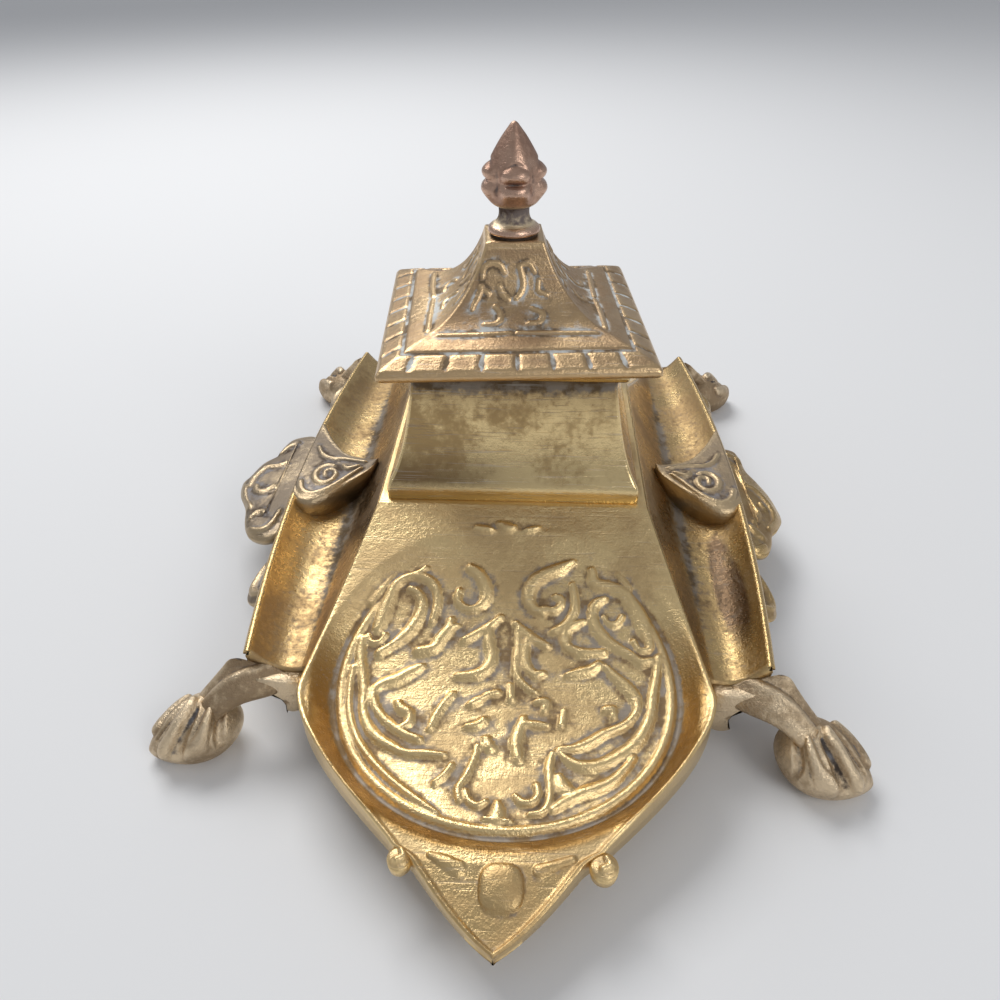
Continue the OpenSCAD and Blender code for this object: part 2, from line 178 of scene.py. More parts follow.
def grid_faces(rows, columns):
    """Corner numbers of the quads between neighbouring rings of points."""
    number = np.arange(rows * columns).reshape(rows, columns)
    number = np.column_stack((number, number[:, 0]))
    quads = (number[:-1, :-1], number[:-1, 1:], number[1:, 1:], number[1:, :-1])
    return np.stack(quads, -1).reshape(-1, 4)


print("a tube of 3 rings with 8 points each has", len(grid_faces(3, 8)), "faces")

# %% [markdown]
# ## From rings to a piece
#
# Blender wants a list of points and a list of faces. Rings of points are stacked along the
# piece, as a potter stacks rings of clay, and quads join each ring to the next. A casting has
# no open edge, so both ends are closed too. Every point carries two values that the materials
# read later: its relief, and a stain-and-shade value, which lays a patch of another colour
# where the old metal is stained and, on some pieces, painted shade.

# %% Rings into a closed skin
def make_piece(name, points, faces, values, slot, body="root", replaces=()):
    """Mesh object with smooth faces: points in mm about the well's axis, moved to metres."""
    mesh = bpy.data.meshes.new(name)
    placed = (np.asarray(points) + (0, WELL_Y, 0)) * MM
    mesh.from_pydata(placed.tolist(), [], [list(f) for f in faces])
    for key, amount in values.items():
        layer = mesh.attributes.new(key, "FLOAT", "POINT")
        layer.data.foreach_set("value", np.asarray(amount, np.float32).ravel())
    mesh.polygons.foreach_set("use_smooth", np.ones(len(mesh.polygons), bool))
    mesh.validate()
    piece = bpy.data.objects.new(name, mesh)
    bpy.context.scene.collection.objects.link(piece)
    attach(piece, body)
    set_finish(piece, slot)
    if replaces:
        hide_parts(*replaces)
    print(name, len(mesh.vertices), "points", len(mesh.polygons), "faces")


def outward(points, faces, relief):
    """Faces and relief turned so that the skin's enclosed volume comes out positive."""
    corners = points[np.array([f[:3] for f in faces])]
    fourth = points[np.array([f[-1] for f in faces])]
    volume = (np.cross(corners[:, 0], corners[:, 1]) * corners[:, 2]).sum()
    volume += (np.cross(corners[:, 0], corners[:, 2]) * fourth).sum()
    return ([f[::-1] for f in faces], -relief) if volume < 0 else (faces, relief)


def skin(name, rings, slot, caps="fan", stain_and_shade=0.0, **place):
    """Closed skin over a stack of closed rings. Its two ends are closed with a fan of
    triangles, or by quads that pair the ring's two halves, or the last ring joins the first."""
    rows, columns = rings.shape[:2]
    relief = relief_measure(rings).ravel()
    stain_and_shade = np.broadcast_to(stain_and_shade, (rows, columns)).ravel()
    points = rings.reshape(-1, 3)
    faces = grid_faces(rows, columns).tolist()
    loop, last_row = np.arange(columns), (rows - 1) * columns
    if caps == "fan":
        first, last = len(points), len(points) + 1
        points = np.concatenate((points, rings[0].mean(0)[None], rings[-1].mean(0)[None]))
        relief, stain_and_shade = np.append(relief, (0, 0)), np.append(stain_and_shade, (0, 0))
        after = np.roll(loop, -1)
        faces += np.column_stack((after, loop, np.full(columns, first))).tolist()
        faces += np.column_stack((last_row + loop, last_row + after,
                                  np.full(columns, last))).tolist()
    elif caps == "pair":
        half = loop[: columns // 2 - 1]
        pairs = np.column_stack((half, columns - 1 - half, columns - 2 - half, half + 1))
        faces += pairs.tolist() + (last_row + pairs[:, ::-1]).tolist()
    elif caps == "join":
        over = np.column_stack((last_row + loop, last_row + np.roll(loop, -1),
                                np.roll(loop, -1), loop))
        faces += over.tolist()
    faces, relief = outward(points, faces, relief)
    make_piece(name, points, faces, {"relief": relief, "stain_and_shade": stain_and_shade}, slot, **place)


# %% [markdown]
# ## Curves and strokes
#
# A pattern maker draws with a few curves and lays beads of wax along scratched lines. These
# helpers do the same: an even step, a soft swelling, a curve through points, a curve pulled by
# its handles, and rounded ridges along strokes of changing width.

# %% Curves and strokes
def smooth_step(low, high, value):
    """0 below low, 1 above high, and an even S-shaped rise between them."""
    t = np.clip((value - low) / (high - low), 0, 1)
    return t * t * (3 - 2 * t)


def bell(value, middle, width):
    """1 at the middle and an even fall on both sides, down to 0.37 one width away."""
    return np.exp(-(((value - middle) / width) ** 2))


def through(points, count):
    """Points spaced along a smooth curve that passes through the given ones (Catmull-Rom)."""
    p = np.asarray(points, float)
    p = np.concatenate((2 * p[:1] - p[1:2], p, 2 * p[-1:] - p[-2:-1]))
    place = np.linspace(0, len(p) - 3, count)
    i = np.minimum(place.astype(int), len(p) - 4)
    t = (place - i)[:, None]
    a, b, c, d = p[i], p[i + 1], p[i + 2], p[i + 3]
    return 0.5 * (2 * b + (c - a) * t + (2 * a - 5 * b + 4 * c - d) * t**2
                  + (3 * b - a - 3 * c + d) * t**3)


def bezier(a, b, c, d, count):
    """Cubic curve from a to d that is pulled towards b and c."""
    t = np.linspace(0, 1, count)[:, None]
    a, b, c, d = (np.asarray(p, float) for p in (a, b, c, d))
    return (1 - t)**3 * a + 3 * (1 - t)**2 * t * b + 3 * (1 - t) * t**2 * c + t**3 * d


def ridges(x, y, strokes, sharpness=0.7, wider=1.0):
    """Height from 0 to 1 of rounded ridges: 1 on a stroke's middle line, 0 at its half width,
    and where strokes cross the highest wins. A higher sharpness thins the ridge's crown."""
    height = np.zeros(x.shape)
    for stroke in strokes:
        line = through(stroke, 6 * len(stroke))
        start, step = line[:-1], np.diff(line, axis=0)
        near = np.full(x.shape, np.inf)
        for (px, py, pw), (dx, dy, dw) in zip(start, step):
            t = np.clip(((x - px) * dx + (y - py) * dy) / (dx * dx + dy * dy + 1e-9), 0, 1)
            far = np.hypot(x - px - t * dx, y - py - t * dy) / (pw + t * dw) / wider
            near = np.minimum(near, far)
        height = np.maximum(height, np.clip(1 - near**2, 0, 1) ** sharpness)
    return height


print("half way along, a smooth step stands at", smooth_step(0, 2, 1))

# %% [markdown]
# ## The shapes that the castings share
#
# Neighbouring castings meet along one curved joint line, so the line and the heights beside it
# are worked out once, by the same formulas as in the CAD source.

# %% Shared shapes of the stand
DECK_Z, DECK_HALF, NECK_Y = 33.5, 31.0, 30.0     # deck's height, half width, start of its flare
FLOOR_Z, FLOOR_X = 18.2, 42.5                    # where the slope runs out into the trough
DISH_HALF, DISH_WIDE, DISH_Z = 41.8, 72.0, 12.0  # widest half width, its distance, floor height
FIELD = np.array((36.5, 32.5))                   # half axes of the dish's oval
FIELD_Y = -(DECK_HALF + 5 + FIELD[1])            # the oval's middle
SEAM = 0.2                                       # gap between neighbouring castings
CAST = 2.6                                       # thickness of the metal


def edge_x(y):
    """Joint line: straight beside the deck, then flaring out to the dish's widest place."""
    s = np.clip((np.abs(y) - NECK_Y) / (DISH_WIDE - NECK_Y), 0, 1)
    return DECK_HALF + (DISH_HALF - DECK_HALF) * (1 - (1 - s) ** 1.15)


def slope_z(x):
    """Height of the slope that falls from the deck to the trough floor."""
    return FLOOR_Z + (DECK_Z - FLOOR_Z) * (np.maximum(0, FLOOR_X - x) / (FLOOR_X - DECK_HALF)) ** 1.3


def edge_z(y):
    """Height of the stand along the joint line."""
    y = np.abs(y)
    return np.where(y < DISH_WIDE, slope_z(edge_x(y)), slope_z(DISH_HALF) - 2.6 * (y - DISH_WIDE) / 33)


def dish_floor(y):
    """The dish floor sweeps down from the shoulder and levels out toward the front."""
    back = -FIELD_Y - FIELD[1]
    v = np.clip((np.abs(y) - back) / (2 * FIELD[1]), 0, 1)
    return DISH_Z + (edge_z(back) - DISH_Z) * (1 - v) ** 2.3


print("joint line", edge_x(0.0), "mm out at the deck and", edge_x(DISH_WIDE), "mm at the dish")

# %% [markdown]
# ## The front tray and its cast scrolls
#
# The tray is one casting: the flat deck under the well, a shoulder that sweeps down, an oval
# dish filled with leafy C-scrolls, and a pointed tip with a boss. The scrolls are strokes of
# changing width over the dish floor, and each becomes a rounded ridge. The two halves are
# listed one by one, because the hand-cut pattern doesn't repeat exactly.

# %% Strokes of the relief: x, y and half width in mm about the well's axis
LEFT_SCROLLS = [
    [(-8.8, -44.1, .9), (-7, -45.2, 1.15), (-5.4, -47.3, 1.3), (-4.9, -49.8, 1.2), (-6, -51.8, 1),
     (-8, -52.7, .8), (-10.3, -52, .8), (-11.2, -50.2, .9), (-10.9, -48.8, .6)],
    [(-16.4, -55.5, .7), (-15.7, -52.5, .9), (-15.8, -49.5, 1), (-17.2, -47.3, 1.1), (-20, -46.2, 1),
     (-23, -46.6, .9), (-25.2, -48.2, 1.1), (-26.3, -51, 1.3), (-27.3, -54.5, 1.6), (-28, -57.5, 1.2)],
    [(-18.6, -44.3, .5), (-20.2, -45.6, .8), (-22.6, -46.2, .5)],
    [(-22, -48.7, .6), (-20.3, -49.4, .9), (-19, -51.3, 1.1), (-19.1, -54, 1.3), (-20.6, -57, 1.35),
     (-22.7, -59.4, 1.2), (-25, -61.3, .9), (-27, -62.6, 1)],
    [(-29.8, -59, .6), (-28.9, -60.5, .6), (-27.1, -60.4, .6), (-26.2, -58.8, .7)],
    [(-31, -60, 1.1), (-30.9, -63.5, 1.2), (-30, -67, 1.2), (-29, -71, 1.1), (-28.5, -75, 1.1),
     (-27, -78.4, 1.2), (-24.4, -81, 1.1), (-21.5, -82.6, 1), (-18.6, -83.8, .8), (-15, -83.8, .9),
     (-11.2, -84, .6)],
    [(-32, -66, .8), (-31.9, -71, .8), (-31, -76, .8), (-28.8, -81, .9), (-25.6, -85, .8),
     (-21.6, -88.8, .8), (-17.6, -91.8, .8), (-14, -94.2, .7), (-11.5, -95.8, .5)],
    [(-17.6, -65.3, .8), (-20, -66.6, 1.3), (-22.6, -68.2, 1.3), (-25.2, -69.2, 1.2),
     (-26.9, -70.8, 1.1), (-26.6, -73.2, 1), (-25, -75.8, 1), (-22.5, -78, 1), (-19.5, -79.8, .9),
     (-16.5, -80.9, .8)],
    [(-21.7, -73.3, .8), (-20.6, -74.6, 1.1), (-19.2, -75.3, 1), (-18.9, -77.2, 1), (-20, -78.4, .8)],
    [(-12.3, -55.3, .9), (-12.6, -57, 1.2), (-14.3, -59.3, 1.3), (-15.6, -61.3, 1.2), (-18.8, -62, 1)],
    [(-10.6, -56.2, .4), (-12.8, -57.3, .9)],
    [(-1.6, -54.3, .7), (-3.7, -56.1, .9), (-6.3, -57.9, 1), (-9.2, -59.4, .8)],
    [(-4, -57, 1), (-3.9, -59.6, 1.2), (-3.2, -62, 1.2), (-3.6, -64.6, 1.2), (-5.3, -66.3, 1.2),
     (-7.8, -66.9, 1), (-10, -67.1, .8)],
    [(-7, -73.1, .7), (-5.6, -72.3, .9), (-4.4, -71.6, .7)],
    [(-3.8, -71, .7), (-1.6, -70.4, .8)],
    [(-10.7, -71, .7), (-12.3, -73.2, .8), (-13.8, -76, .8), (-14.6, -78.5, .6)],
    [(-4, -76.4, .9), (-5.4, -77.5, .9), (-7.5, -77.9, .6)],
    [(-3.4, -80.4, .9), (-2.6, -82, 1.1)],
    [(-4.9, -81.8, .5), (-5.4, -84.5, .6), (-6.6, -88, .7), (-8, -90.8, .7), (-7.6, -93, .6)],
    [(-6.6, -91.2, .6), (-5.9, -93, .7), (-4.2, -94, .7), (-2.6, -93.2, .6)],
    [(-9.6, -86, .6), (-11, -88.4, .7), (-12.6, -89.8, .5)],
    [(-24, -39, .7), (-25.6, -43, 1), (-27.6, -47.5, 1), (-30.4, -51.5, 1)],
    [(-28.6, -41.5, .6), (-30.6, -45.5, 1), (-32, -50, 1.1), (-33.4, -54.5, 1)],
]
RIGHT_SCROLLS = [
    [(14.2, -42.3, .5), (11.6, -43.6, 1.1), (8.3, -44.9, 1.3), (5.6, -46.6, 1.4), (4.4, -49.2, 1.4),
     (5.2, -51.8, 1.1), (7.6, -53.2, .8)],
    [(7.8, -52.2, .7), (9.8, -52.6, .8), (11.3, -51.6, .9), (11.4, -50.2, .8), (10.2, -49.6, .6)],
    [(13.9, -47, .6), (14.3, -49.5, .8), (14.4, -52, 1), (13.2, -54.8, 1.1), (11.2, -56.4, 1),
     (9.6, -57, .6)],
    [(16.2, -54.8, .7), (13.5, -56, 1), (12.2, -58, 1.1), (13, -60.3, 1), (16, -61.4, 1.1),
     (20.3, -61.2, .9)],
    [(21, -49.8, .6), (19, -50.9, 1), (18.2, -53.2, 1.2), (19, -56, 1.3), (21, -58.6, 1.3),
     (23.4, -60.2, 1.1), (25.8, -61.4, .9), (28, -63, 1), (30.3, -62.7, .9)],
    [(20.6, -53.6, .5), (21.6, -55, .6), (23.3, -55, .6), (24.6, -53.4, .6)],
    [(18.2, -44, .8), (18.9, -46.6, 1.2), (22, -47.3, 1.2), (25, -48.5, 1.3), (27, -51, 1.5),
     (28.6, -54, 1.6), (29.7, -57, 1.5), (30.2, -59.5, 1)],
    [(24.2, -44.4, .7), (25.5, -46, .8), (26.6, -47.6, .6)],
    [(26.8, -58.6, .6), (28, -60.5, .7), (30, -60.4, .7)],
    [(1.6, -55.4, .6), (3.4, -57.2, 1.1), (5.2, -58.6, 1.2), (8.6, -60.2, .7)],
    [(4.2, -59.3, 1.1), (3.9, -62, 1), (4.3, -64.6, 1.1), (5.9, -66.3, 1), (7.6, -66, .7)],
    [(2.1, -57, .6), (2.3, -60.5, .8), (1.9, -64, .8), (2.4, -66.8, .7), (4.3, -69, .6),
     (6.4, -70.3, .5)],
    [(12.7, -66.2, .6), (15, -65.6, 1), (17.5, -65, 1.1), (19.2, -63.8, 1)],
    [(20.6, -64.2, .7), (22.6, -66.3, 1), (24.8, -68.4, 1.3), (26.5, -70.8, 1.3), (26.6, -73.3, 1),
     (25, -75.6, .9), (22.6, -77.2, .9), (19.5, -78.6, 1), (16.8, -80.4, 1.1), (13.5, -81.8, .9),
     (10.8, -82, .6)],
    [(20.2, -73.4, .8), (21.6, -73.2, .9), (21.8, -75, .7)],
    [(31.8, -62, 1), (31, -66, 1), (30, -70, 1.1), (29.2, -74, 1.2), (27.6, -77.6, 1.2),
     (25.2, -80.8, 1.3), (22, -83.2, 1.3), (18.5, -84.9, 1.2), (15, -85.2, 1.1), (12.4, -84, .8),
     (10.8, -82.6, .5)],
    [(25.2, -83.2, .7), (23, -86, .9), (20.6, -88.3, 1.1), (17.5, -89.8, 1.2), (14.5, -91, 1.2),
     (11.8, -92.6, 1.1), (9.6, -94.3, .8)],
    [(10.8, -87.6, .8), (11.4, -89.8, 1.7), (12.8, -90.6, 1.2)],
    [(9.6, -83, .6), (9, -86, .8), (9.1, -90, .8), (8.9, -93, .8), (7.6, -94.9, .7), (5.4, -95.4, .5)],
    [(6.6, -89.6, .7), (7, -91.4, .8), (5.9, -93, .8), (3.9, -93, .8), (2.6, -91.8, .5)],
    [(3.9, -75.8, .8), (3.2, -78, 1.2), (2.5, -81, 1.1), (3, -84.2, .9)],
    [(4.2, -77, .9), (6.5, -77, .9), (8.8, -77.2, .5)],
    [(.9, -68.8, .7), (1.3, -71.8, .7)],
    [(6.3, -72.2, .6), (8.2, -72, .9), (8, -74, .7)],
    [(11.9, -73.8, .5), (11.4, -77, .6)],
    [(27.3, -40, .7), (28.8, -43, 1), (31, -47, 1.3), (32.7, -51, 1.2)],
]
MIDDLE_BUD = [[(-.5, -93.4, .7), (-.4, -95, 1.3), (-.6, -96.4, 1.6)], [(-2.8, -96.6, .5), (2, -97, .5)]]
SHOULDER_LUMPS = [
    [(-7.8, -35.6, .8), (-6.2, -35.8, 1.1), (-4.4, -36.1, .7)],
    [(-2.8, -34.6, .8), (-1, -35.2, 1.3), (.6, -35.3, .8)],
    [(3.2, -36, .5), (5, -35.6, .8), (6.2, -35.3, .5)],
]
TIP_LEAVES = [
    [(-11.6, -104.6, .6), (-9, -105.5, 1.2), (-6.6, -106.7, 1.5)],
    [(7.2, -106.6, 1.2), (9.6, -105.7, 1), (12.9, -104.5, .8)],
]
print(len(LEFT_SCROLLS), "strokes on the left,", len(RIGHT_SCROLLS), "on the right")

# %% [markdown]
# ## The tray's outline and height
#
# The tray's top is one height over x and y, so that the shoulder, the slope round the dish and
# the tip plate run into each other as they do in one pour of metal. Everything is measured from
# the oval's edge: the floor and its scrolls lie inside, and the smooth slope climbs outside.

# %% The tray's outline and height
BOSS = (0.9, -109.4, 3.9)       # middle x, middle y and half width of the tip's boss
OVAL_MM = 34.5                  # mean half axis of the oval, which turns shares of it into mm
TIP_Y = 105.5                   # how far forward the tip plate begins
SCROLL_HIGH, RING_HIGH, GROOVE_DEEP = 1.1, 0.7, 0.5
LUMP_HIGH, LEAF_HIGH, BOSS_HIGH, RIM_HIGH = 0.8, 0.6, 1.5, 0.55


def tray_width(y):
    """Half width of the tray: joint line, bulging dish and a blunt pointed tip."""
    front = np.concatenate((
        bezier((DISH_HALF, -DISH_WIDE), (42.4, -80), (30, -92), (19.6, -101.8), 40),
        bezier((18.4, -103.2), (16.8, -104), (15.2, -104.8), (14.4, -106), 8),
        bezier((14.2, -106.3), (11.2, -109.6), (6.6, -115.6), (0.15, -119.3), 30)))
    return np.where(y > -DISH_WIDE, edge_x(y), np.interp(-y, -front[:, 1], front[:, 0]))


def oval_share(x, y):
    """Distance from the oval's middle as a share of the distance to its edge."""
    return np.hypot(x / FIELD[0], (y - FIELD_Y) / FIELD[1])


def tray_height(x, y):
    """Height of the tray's top: shoulder or tip plate outside the oval, sunk floor with
    relief inside it, and a polished slope that joins the two."""
    rho = oval_share(x, y)
    out = (rho - 1) * OVAL_MM
    rim = np.where(y < -TIP_Y, 13.8 - 3.5 * (-TIP_Y - y) / 14,
                   edge_z(y) - 2.2 * smooth_step(86, TIP_Y, -y))
    z = dish_floor(y) + (rim - dish_floor(y)) * smooth_step(-1.2, 3.4, out)
    inside = 1 - smooth_step(-1.4, 0.4, out)
    low = smooth_step(44, 58, -y)
    scrolls = ridges(x, y, LEFT_SCROLLS + RIGHT_SCROLLS + MIDDLE_BUD, 1.0, 1.35)
    ring = np.clip(1 - ((rho - 0.925) / 0.032) ** 2, 0, 1)
    z = z + inside * np.maximum(SCROLL_HIGH * scrolls, RING_HIGH * ring * low)
    z = z - GROOVE_DEEP * low * np.clip(1 - ((rho - 0.975) / 0.02) ** 2, 0, 1)
    z = z + LUMP_HIGH * ridges(x, y, SHOULDER_LUMPS) + LEAF_HIGH * ridges(x, y, TIP_LEAVES)
    around = (np.abs(x - BOSS[0]) ** 2.8 + np.abs(y - BOSS[1]) ** 2.8) ** (1 / 2.8)
    z = z + BOSS_HIGH * np.clip(1 - (around / BOSS[2]) ** 2.5, 0, 1) ** 0.5
    gap = tray_width(y) - np.abs(x)
    return z + RIM_HIGH * smooth_step(52, 70, -y) * bell(gap, 0.6, 0.8)


print("dish floor at", dish_floor(-95.0), "mm, deck at", DECK_Z, "mm")

# %% [markdown]
# ## The tray's skin
#
# Each ring is one cross-section of the casting, cut at one distance from the well: over the top
# from left to right, down one edge, back along the plain underside and up the other edge. The
# rings stand closest where the ornament is finest.

# %% The tray's skin, from the deck's back edge to the tip
tray_rows = -np.concatenate((
    np.linspace(-DECK_HALF, 30, 14), np.linspace(30.4, 36, 14), np.linspace(36.3, 102, 180),
    np.linspace(102.2, 107.6, 30), np.linspace(108, 119.5, 32)))
across = np.sin(np.linspace(-1, 1, 157) * 1.25) / np.sin(1.25)
y = tray_rows[:, None]
x = across[None] * tray_width(y)
top = np.stack((x, y + 0 * x, tray_height(x, y)), -1)
under_z = np.where(y > -36, DECK_Z - 3, np.minimum(dish_floor(y) - CAST, edge_z(y) - 2))
under_z = np.where(y < -104, 9.4 - 1.2 * (-104 - y) / 15.5, under_z)
# Both side walls: three points each, from the top's outermost column down to the underside
edge_drop = np.array((0.12, 0.5, 1))
edge = np.stack([np.stack((tray_width(y) * s - s * a * 0.2, y,
                           top[:, c, 2:3] * (1 - a) + under_z * a), -1)[:, 0]
                 for s, c in ((1, -1), (-1, 0)) for a in edge_drop], 1)
below = np.linspace(0.96, -0.96, 12)[None] * tray_width(y)
below = np.stack((below, y + 0 * below, under_z + 0 * below), -1)
rings = np.concatenate((top, edge[:, :3], below, edge[:, :2:-1]), 1)
out = OVAL_MM * (oval_share(top[..., 0], top[..., 1]) - 1)
# The slope round the front of the dish is darkened as painted shade, and the tip plate takes a lighter
# share of the same darker colour.
on_slope = smooth_step(-1.6, 0.2, out) * (1 - smooth_step(2.8, 4.2, out))
slope_shade_and_tip_darkening = np.maximum(on_slope * smooth_step(50, 70, -y), 0.4 * smooth_step(103, 106, -y))
stain_and_shade = np.zeros(rings.shape[:2])
stain_and_shade[:, :top.shape[1]] = slope_shade_and_tip_darkening
skin("dish_casting", rings, "tray_brass", stain_and_shade=stain_and_shade, replaces=("front_tray",))

# %% [markdown]
# ## The well housing
#
# Four hollow-faced sides rise from a stepped foot to a plain flange. Such a body is a stack of
# squares whose half width follows one profile. Rounding the corners of each square a little
# gives the soft edges that years of polishing leave, which a sharp CAD edge doesn't have.

# %% Square rings and the housing
def square_rings(half, radius, straight, corner=5):
    """Rounded squares of the given half widths. Gives each ring's x and y, the place across
    its own side, and which side it is on (0 front, 1 right, 2 back, 3 left)."""
    half, radius = np.asarray(half, float)[:, None], np.asarray(radius, float)[:, None]
    flat = half - radius
    s = np.linspace(-1, 1, straight)
    bend = np.radians(np.linspace(-90, 0, corner + 2)[1:-1])
    x = np.concatenate((flat * s, flat + radius * np.cos(bend)), 1)
    y = np.concatenate((0 * flat * s - half, -flat + radius * np.sin(bend)), 1)
    place = np.concatenate((flat * s, flat + 0 * radius * bend), 1)
    xs, ys = [x, -y, -x, y], [y, x, -y, -x]
    side = np.repeat(np.arange(4), straight + corner)
    return (np.concatenate(xs, 1), np.concatenate(ys, 1), np.tile(place, (1, 4)),
            np.broadcast_to(side, (len(half), len(side))))


wall = bezier((28.4, 38.2), (25.6, 42.5), (24.2, 50), (22.7, 60.5), 30)
housing_profile = np.concatenate((
    [(26.9, 33.5), (28.8, 33.5), (29.1, 33.8), (29.1, 36.2), (28.9, 37), (28.7, 37.7)], wall,
    [(22.8, 61.4), (23.5, 62.3), (24.7, 62.7), (25, 63.1), (25, 64.9), (24.7, 65.2), (21, 65.2),
     (20.5, 64.8)], wall[::-3] - (2.2, 0), [(26.9, 36.4)]))
x, y, place, _ = square_rings(housing_profile[:, 0], np.full(len(housing_profile), 0.8), 24)
z = housing_profile[:, 1:2] + 0 * x
# Real stains low on the left side, and a band darker towards the top of the walls that is painted
# shade.
low_left = smooth_step(49, 36, z) * smooth_step(8, -18, place)
stain_and_shade = np.clip(low_left + 0.75 * smooth_step(51, 61, z), 0, 1)
skin("well_body", np.stack((x, y, z), -1), "housing_brass", caps="join", stain_and_shade=stain_and_shade,
     replaces=("well_housing",))

# %% [markdown]
# ## The housing's lugs
#
# Two knuckles behind the well carry the hinge pin, and four round lugs inside its corners take
# the screws from below. Nobody polishes them, but a lid without a hinge would float.

# %% The housing's hinge lugs and screw lugs
HINGE_Y, HINGE_Z, KNUCKLE_R = 27.7, 62.9, 2.3
LUG_AT, LUG_R = 21.4, 3.6


def prism(outline, low, high, axis):
    """Rings of one outline carried along an axis from low to high, slightly drawn in at the
    ends so that the edges look filed."""
    outline = np.asarray(outline, float)
    middle = outline.mean(0)
    ends = np.array((low, low + 0.25, high - 0.25, high))
    shrink = np.array((0.96, 1, 1, 0.96))[:, None, None]
    flat = middle + (outline - middle) * shrink
    along = np.broadcast_to(ends[:, None, None], flat.shape[:2] + (1,))
    order = {"x": (2, 0, 1), "z": (0, 1, 2)}[axis]
    return np.concatenate((flat, along), -1)[..., order]


def knuckle_outline(reach):
    """A round knuckle over the pin, drawn out to the wall that carries it."""
    turn = np.radians(np.linspace(-80, 150, 24))
    eye = np.column_stack((HINGE_Y + KNUCKLE_R * np.cos(turn), HINGE_Z + KNUCKLE_R * np.sin(turn)))
    return np.concatenate((eye, reach))


for name, low, high in (("left_hinge_lug", -11, -4.2), ("right_hinge_lug", 4.2, 11)):
    lug = prism(knuckle_outline([(24, 63.6), (22, 59), (21.9, 53)]), low, high, "x")
    skin(name, lug, "housing_brass")
turn = np.radians(np.arange(0, 360, 15))
for number, (sx, sy) in enumerate(((-1, -1), (1, -1), (1, 1), (-1, 1))):
    lug = np.column_stack((sx * LUG_AT + LUG_R * np.cos(turn), sy * LUG_AT + LUG_R * np.sin(turn)))
    skin(f"screw_lug_{number + 1}", prism(lug, 33.6, 42.4, "z"), "housing_brass")

# %% [markdown]
# ## The lid
#
# The lid is a hollow pyramid with hollow faces. Round its rim runs a border of small tablets,
# then a bead, and each face carries a few worn scroll strokes. All of this relief is a height
# over two numbers: how far along the profile a point lies, and how far across its face. The
# points are then pushed out along the surface by that height.

# %% The lid's relief: strokes give the place across a face, along its profile, and half width
LID_TURN, LID_SET = np.radians(4.2), -0.7       # the lid sits a little askew on its worn hinge
TABLET_STEP, TABLET_HIGH, CUT_DEEP = 7.65, 0.2, 0.25
LINE_AT, LINE_DEEP, BEAD_HIGH, STROKE_HIGH = 7.7, 0.36, 0.4, 0.34
LID_STROKES = [
    [(-7.2, 27, .6), (-6.8, 29, .7), (-5.2, 30, .7), (-3.4, 29.6, .7), (-2.4, 28, .6)],
    [(-7.5, 25, .7), (-8, 23.4, .8), (-9, 21.5, .7), (-9.6, 20, .5)],
    [(-7.8, 25, .6), (-6, 23.6, .6)],
    [(-3.6, 25, .7), (-2.7, 23.2, .8), (-1.6, 22.2, .6)],
    [(.9, 29.2, .7), (1.5, 27, .8), (1.6, 25, .8), (.8, 23.2, .7), (0, 22.3, .5)],
    [(1.2, 29.5, .6), (3, 29.8, .7), (4.2, 28, .6)],
    [(5, 26.2, .6), (5, 24, .7), (6.8, 23.2, .6)],
    [(-4.6, 20.6, .6), (-3.7, 19.3, .7), (-3.5, 17.5, .7), (-4.8, 16.4, .7), (-7, 16.3, .6)],
    [(3.5, 20, .6), (5.5, 18.8, .8), (5, 16.8, .7), (2.6, 16.4, .6)],
]
BEADS = [[(-17, 13.3, .6), (-9, 13.3, .8), (-1.6, 13.7, .6)],
         [(0, 13.7, .6), (9, 13.4, .8), (17, 13.2, .6)]]


def along_profile(profile):
    """Distance run along a profile at each of its points."""
    return np.concatenate(([0], np.cumsum(np.hypot(*np.diff(profile, axis=0).T))))


def resample(profile, step):
    """The same profile with points about step apart."""
    run = along_profile(profile)
    new = np.linspace(0, run[-1], int(run[-1] / step))
    return np.column_stack([np.interp(new, run, profile[:, k]) for k in (0, 1)]), new


def lid_relief(across, run, face):
    """Tablets between cut grooves, a groove above them, two beads and the scroll strokes."""
    fan = 1 - 0.012 * (run - 2.5)
    cut = np.zeros(across.shape)
    for at in np.arange(-23.3, 24, TABLET_STEP):
        cut = np.maximum(cut, bell(across, at * fan, 0.45))
    band = smooth_step(2.2, 3, run) * (1 - smooth_step(6.9, LINE_AT, run))
    line = bell(run, LINE_AT, 0.5)
    height = TABLET_HIGH * band * (1 - cut) - CUT_DEEP * band * cut - LINE_DEEP * line
    swapped = np.where(face % 2 == 0, across, -across)
    height = height + BEAD_HIGH * ridges(across, run, BEADS)
    return height + STROKE_HIGH * ridges(swapped, run, LID_STROKES)


print(len(LID_STROKES), "strokes on each face of the lid")

# %% [markdown]
# ## The lid's skin
#
# The outside is drawn from the rim's lower edge up to the flat top, and then the inside comes
# back down to the seat, so that one skin has the lid's real thickness. The finished shape is
# turned by a few degrees about the well's axis, because an old hinge lets a lid sit askew.

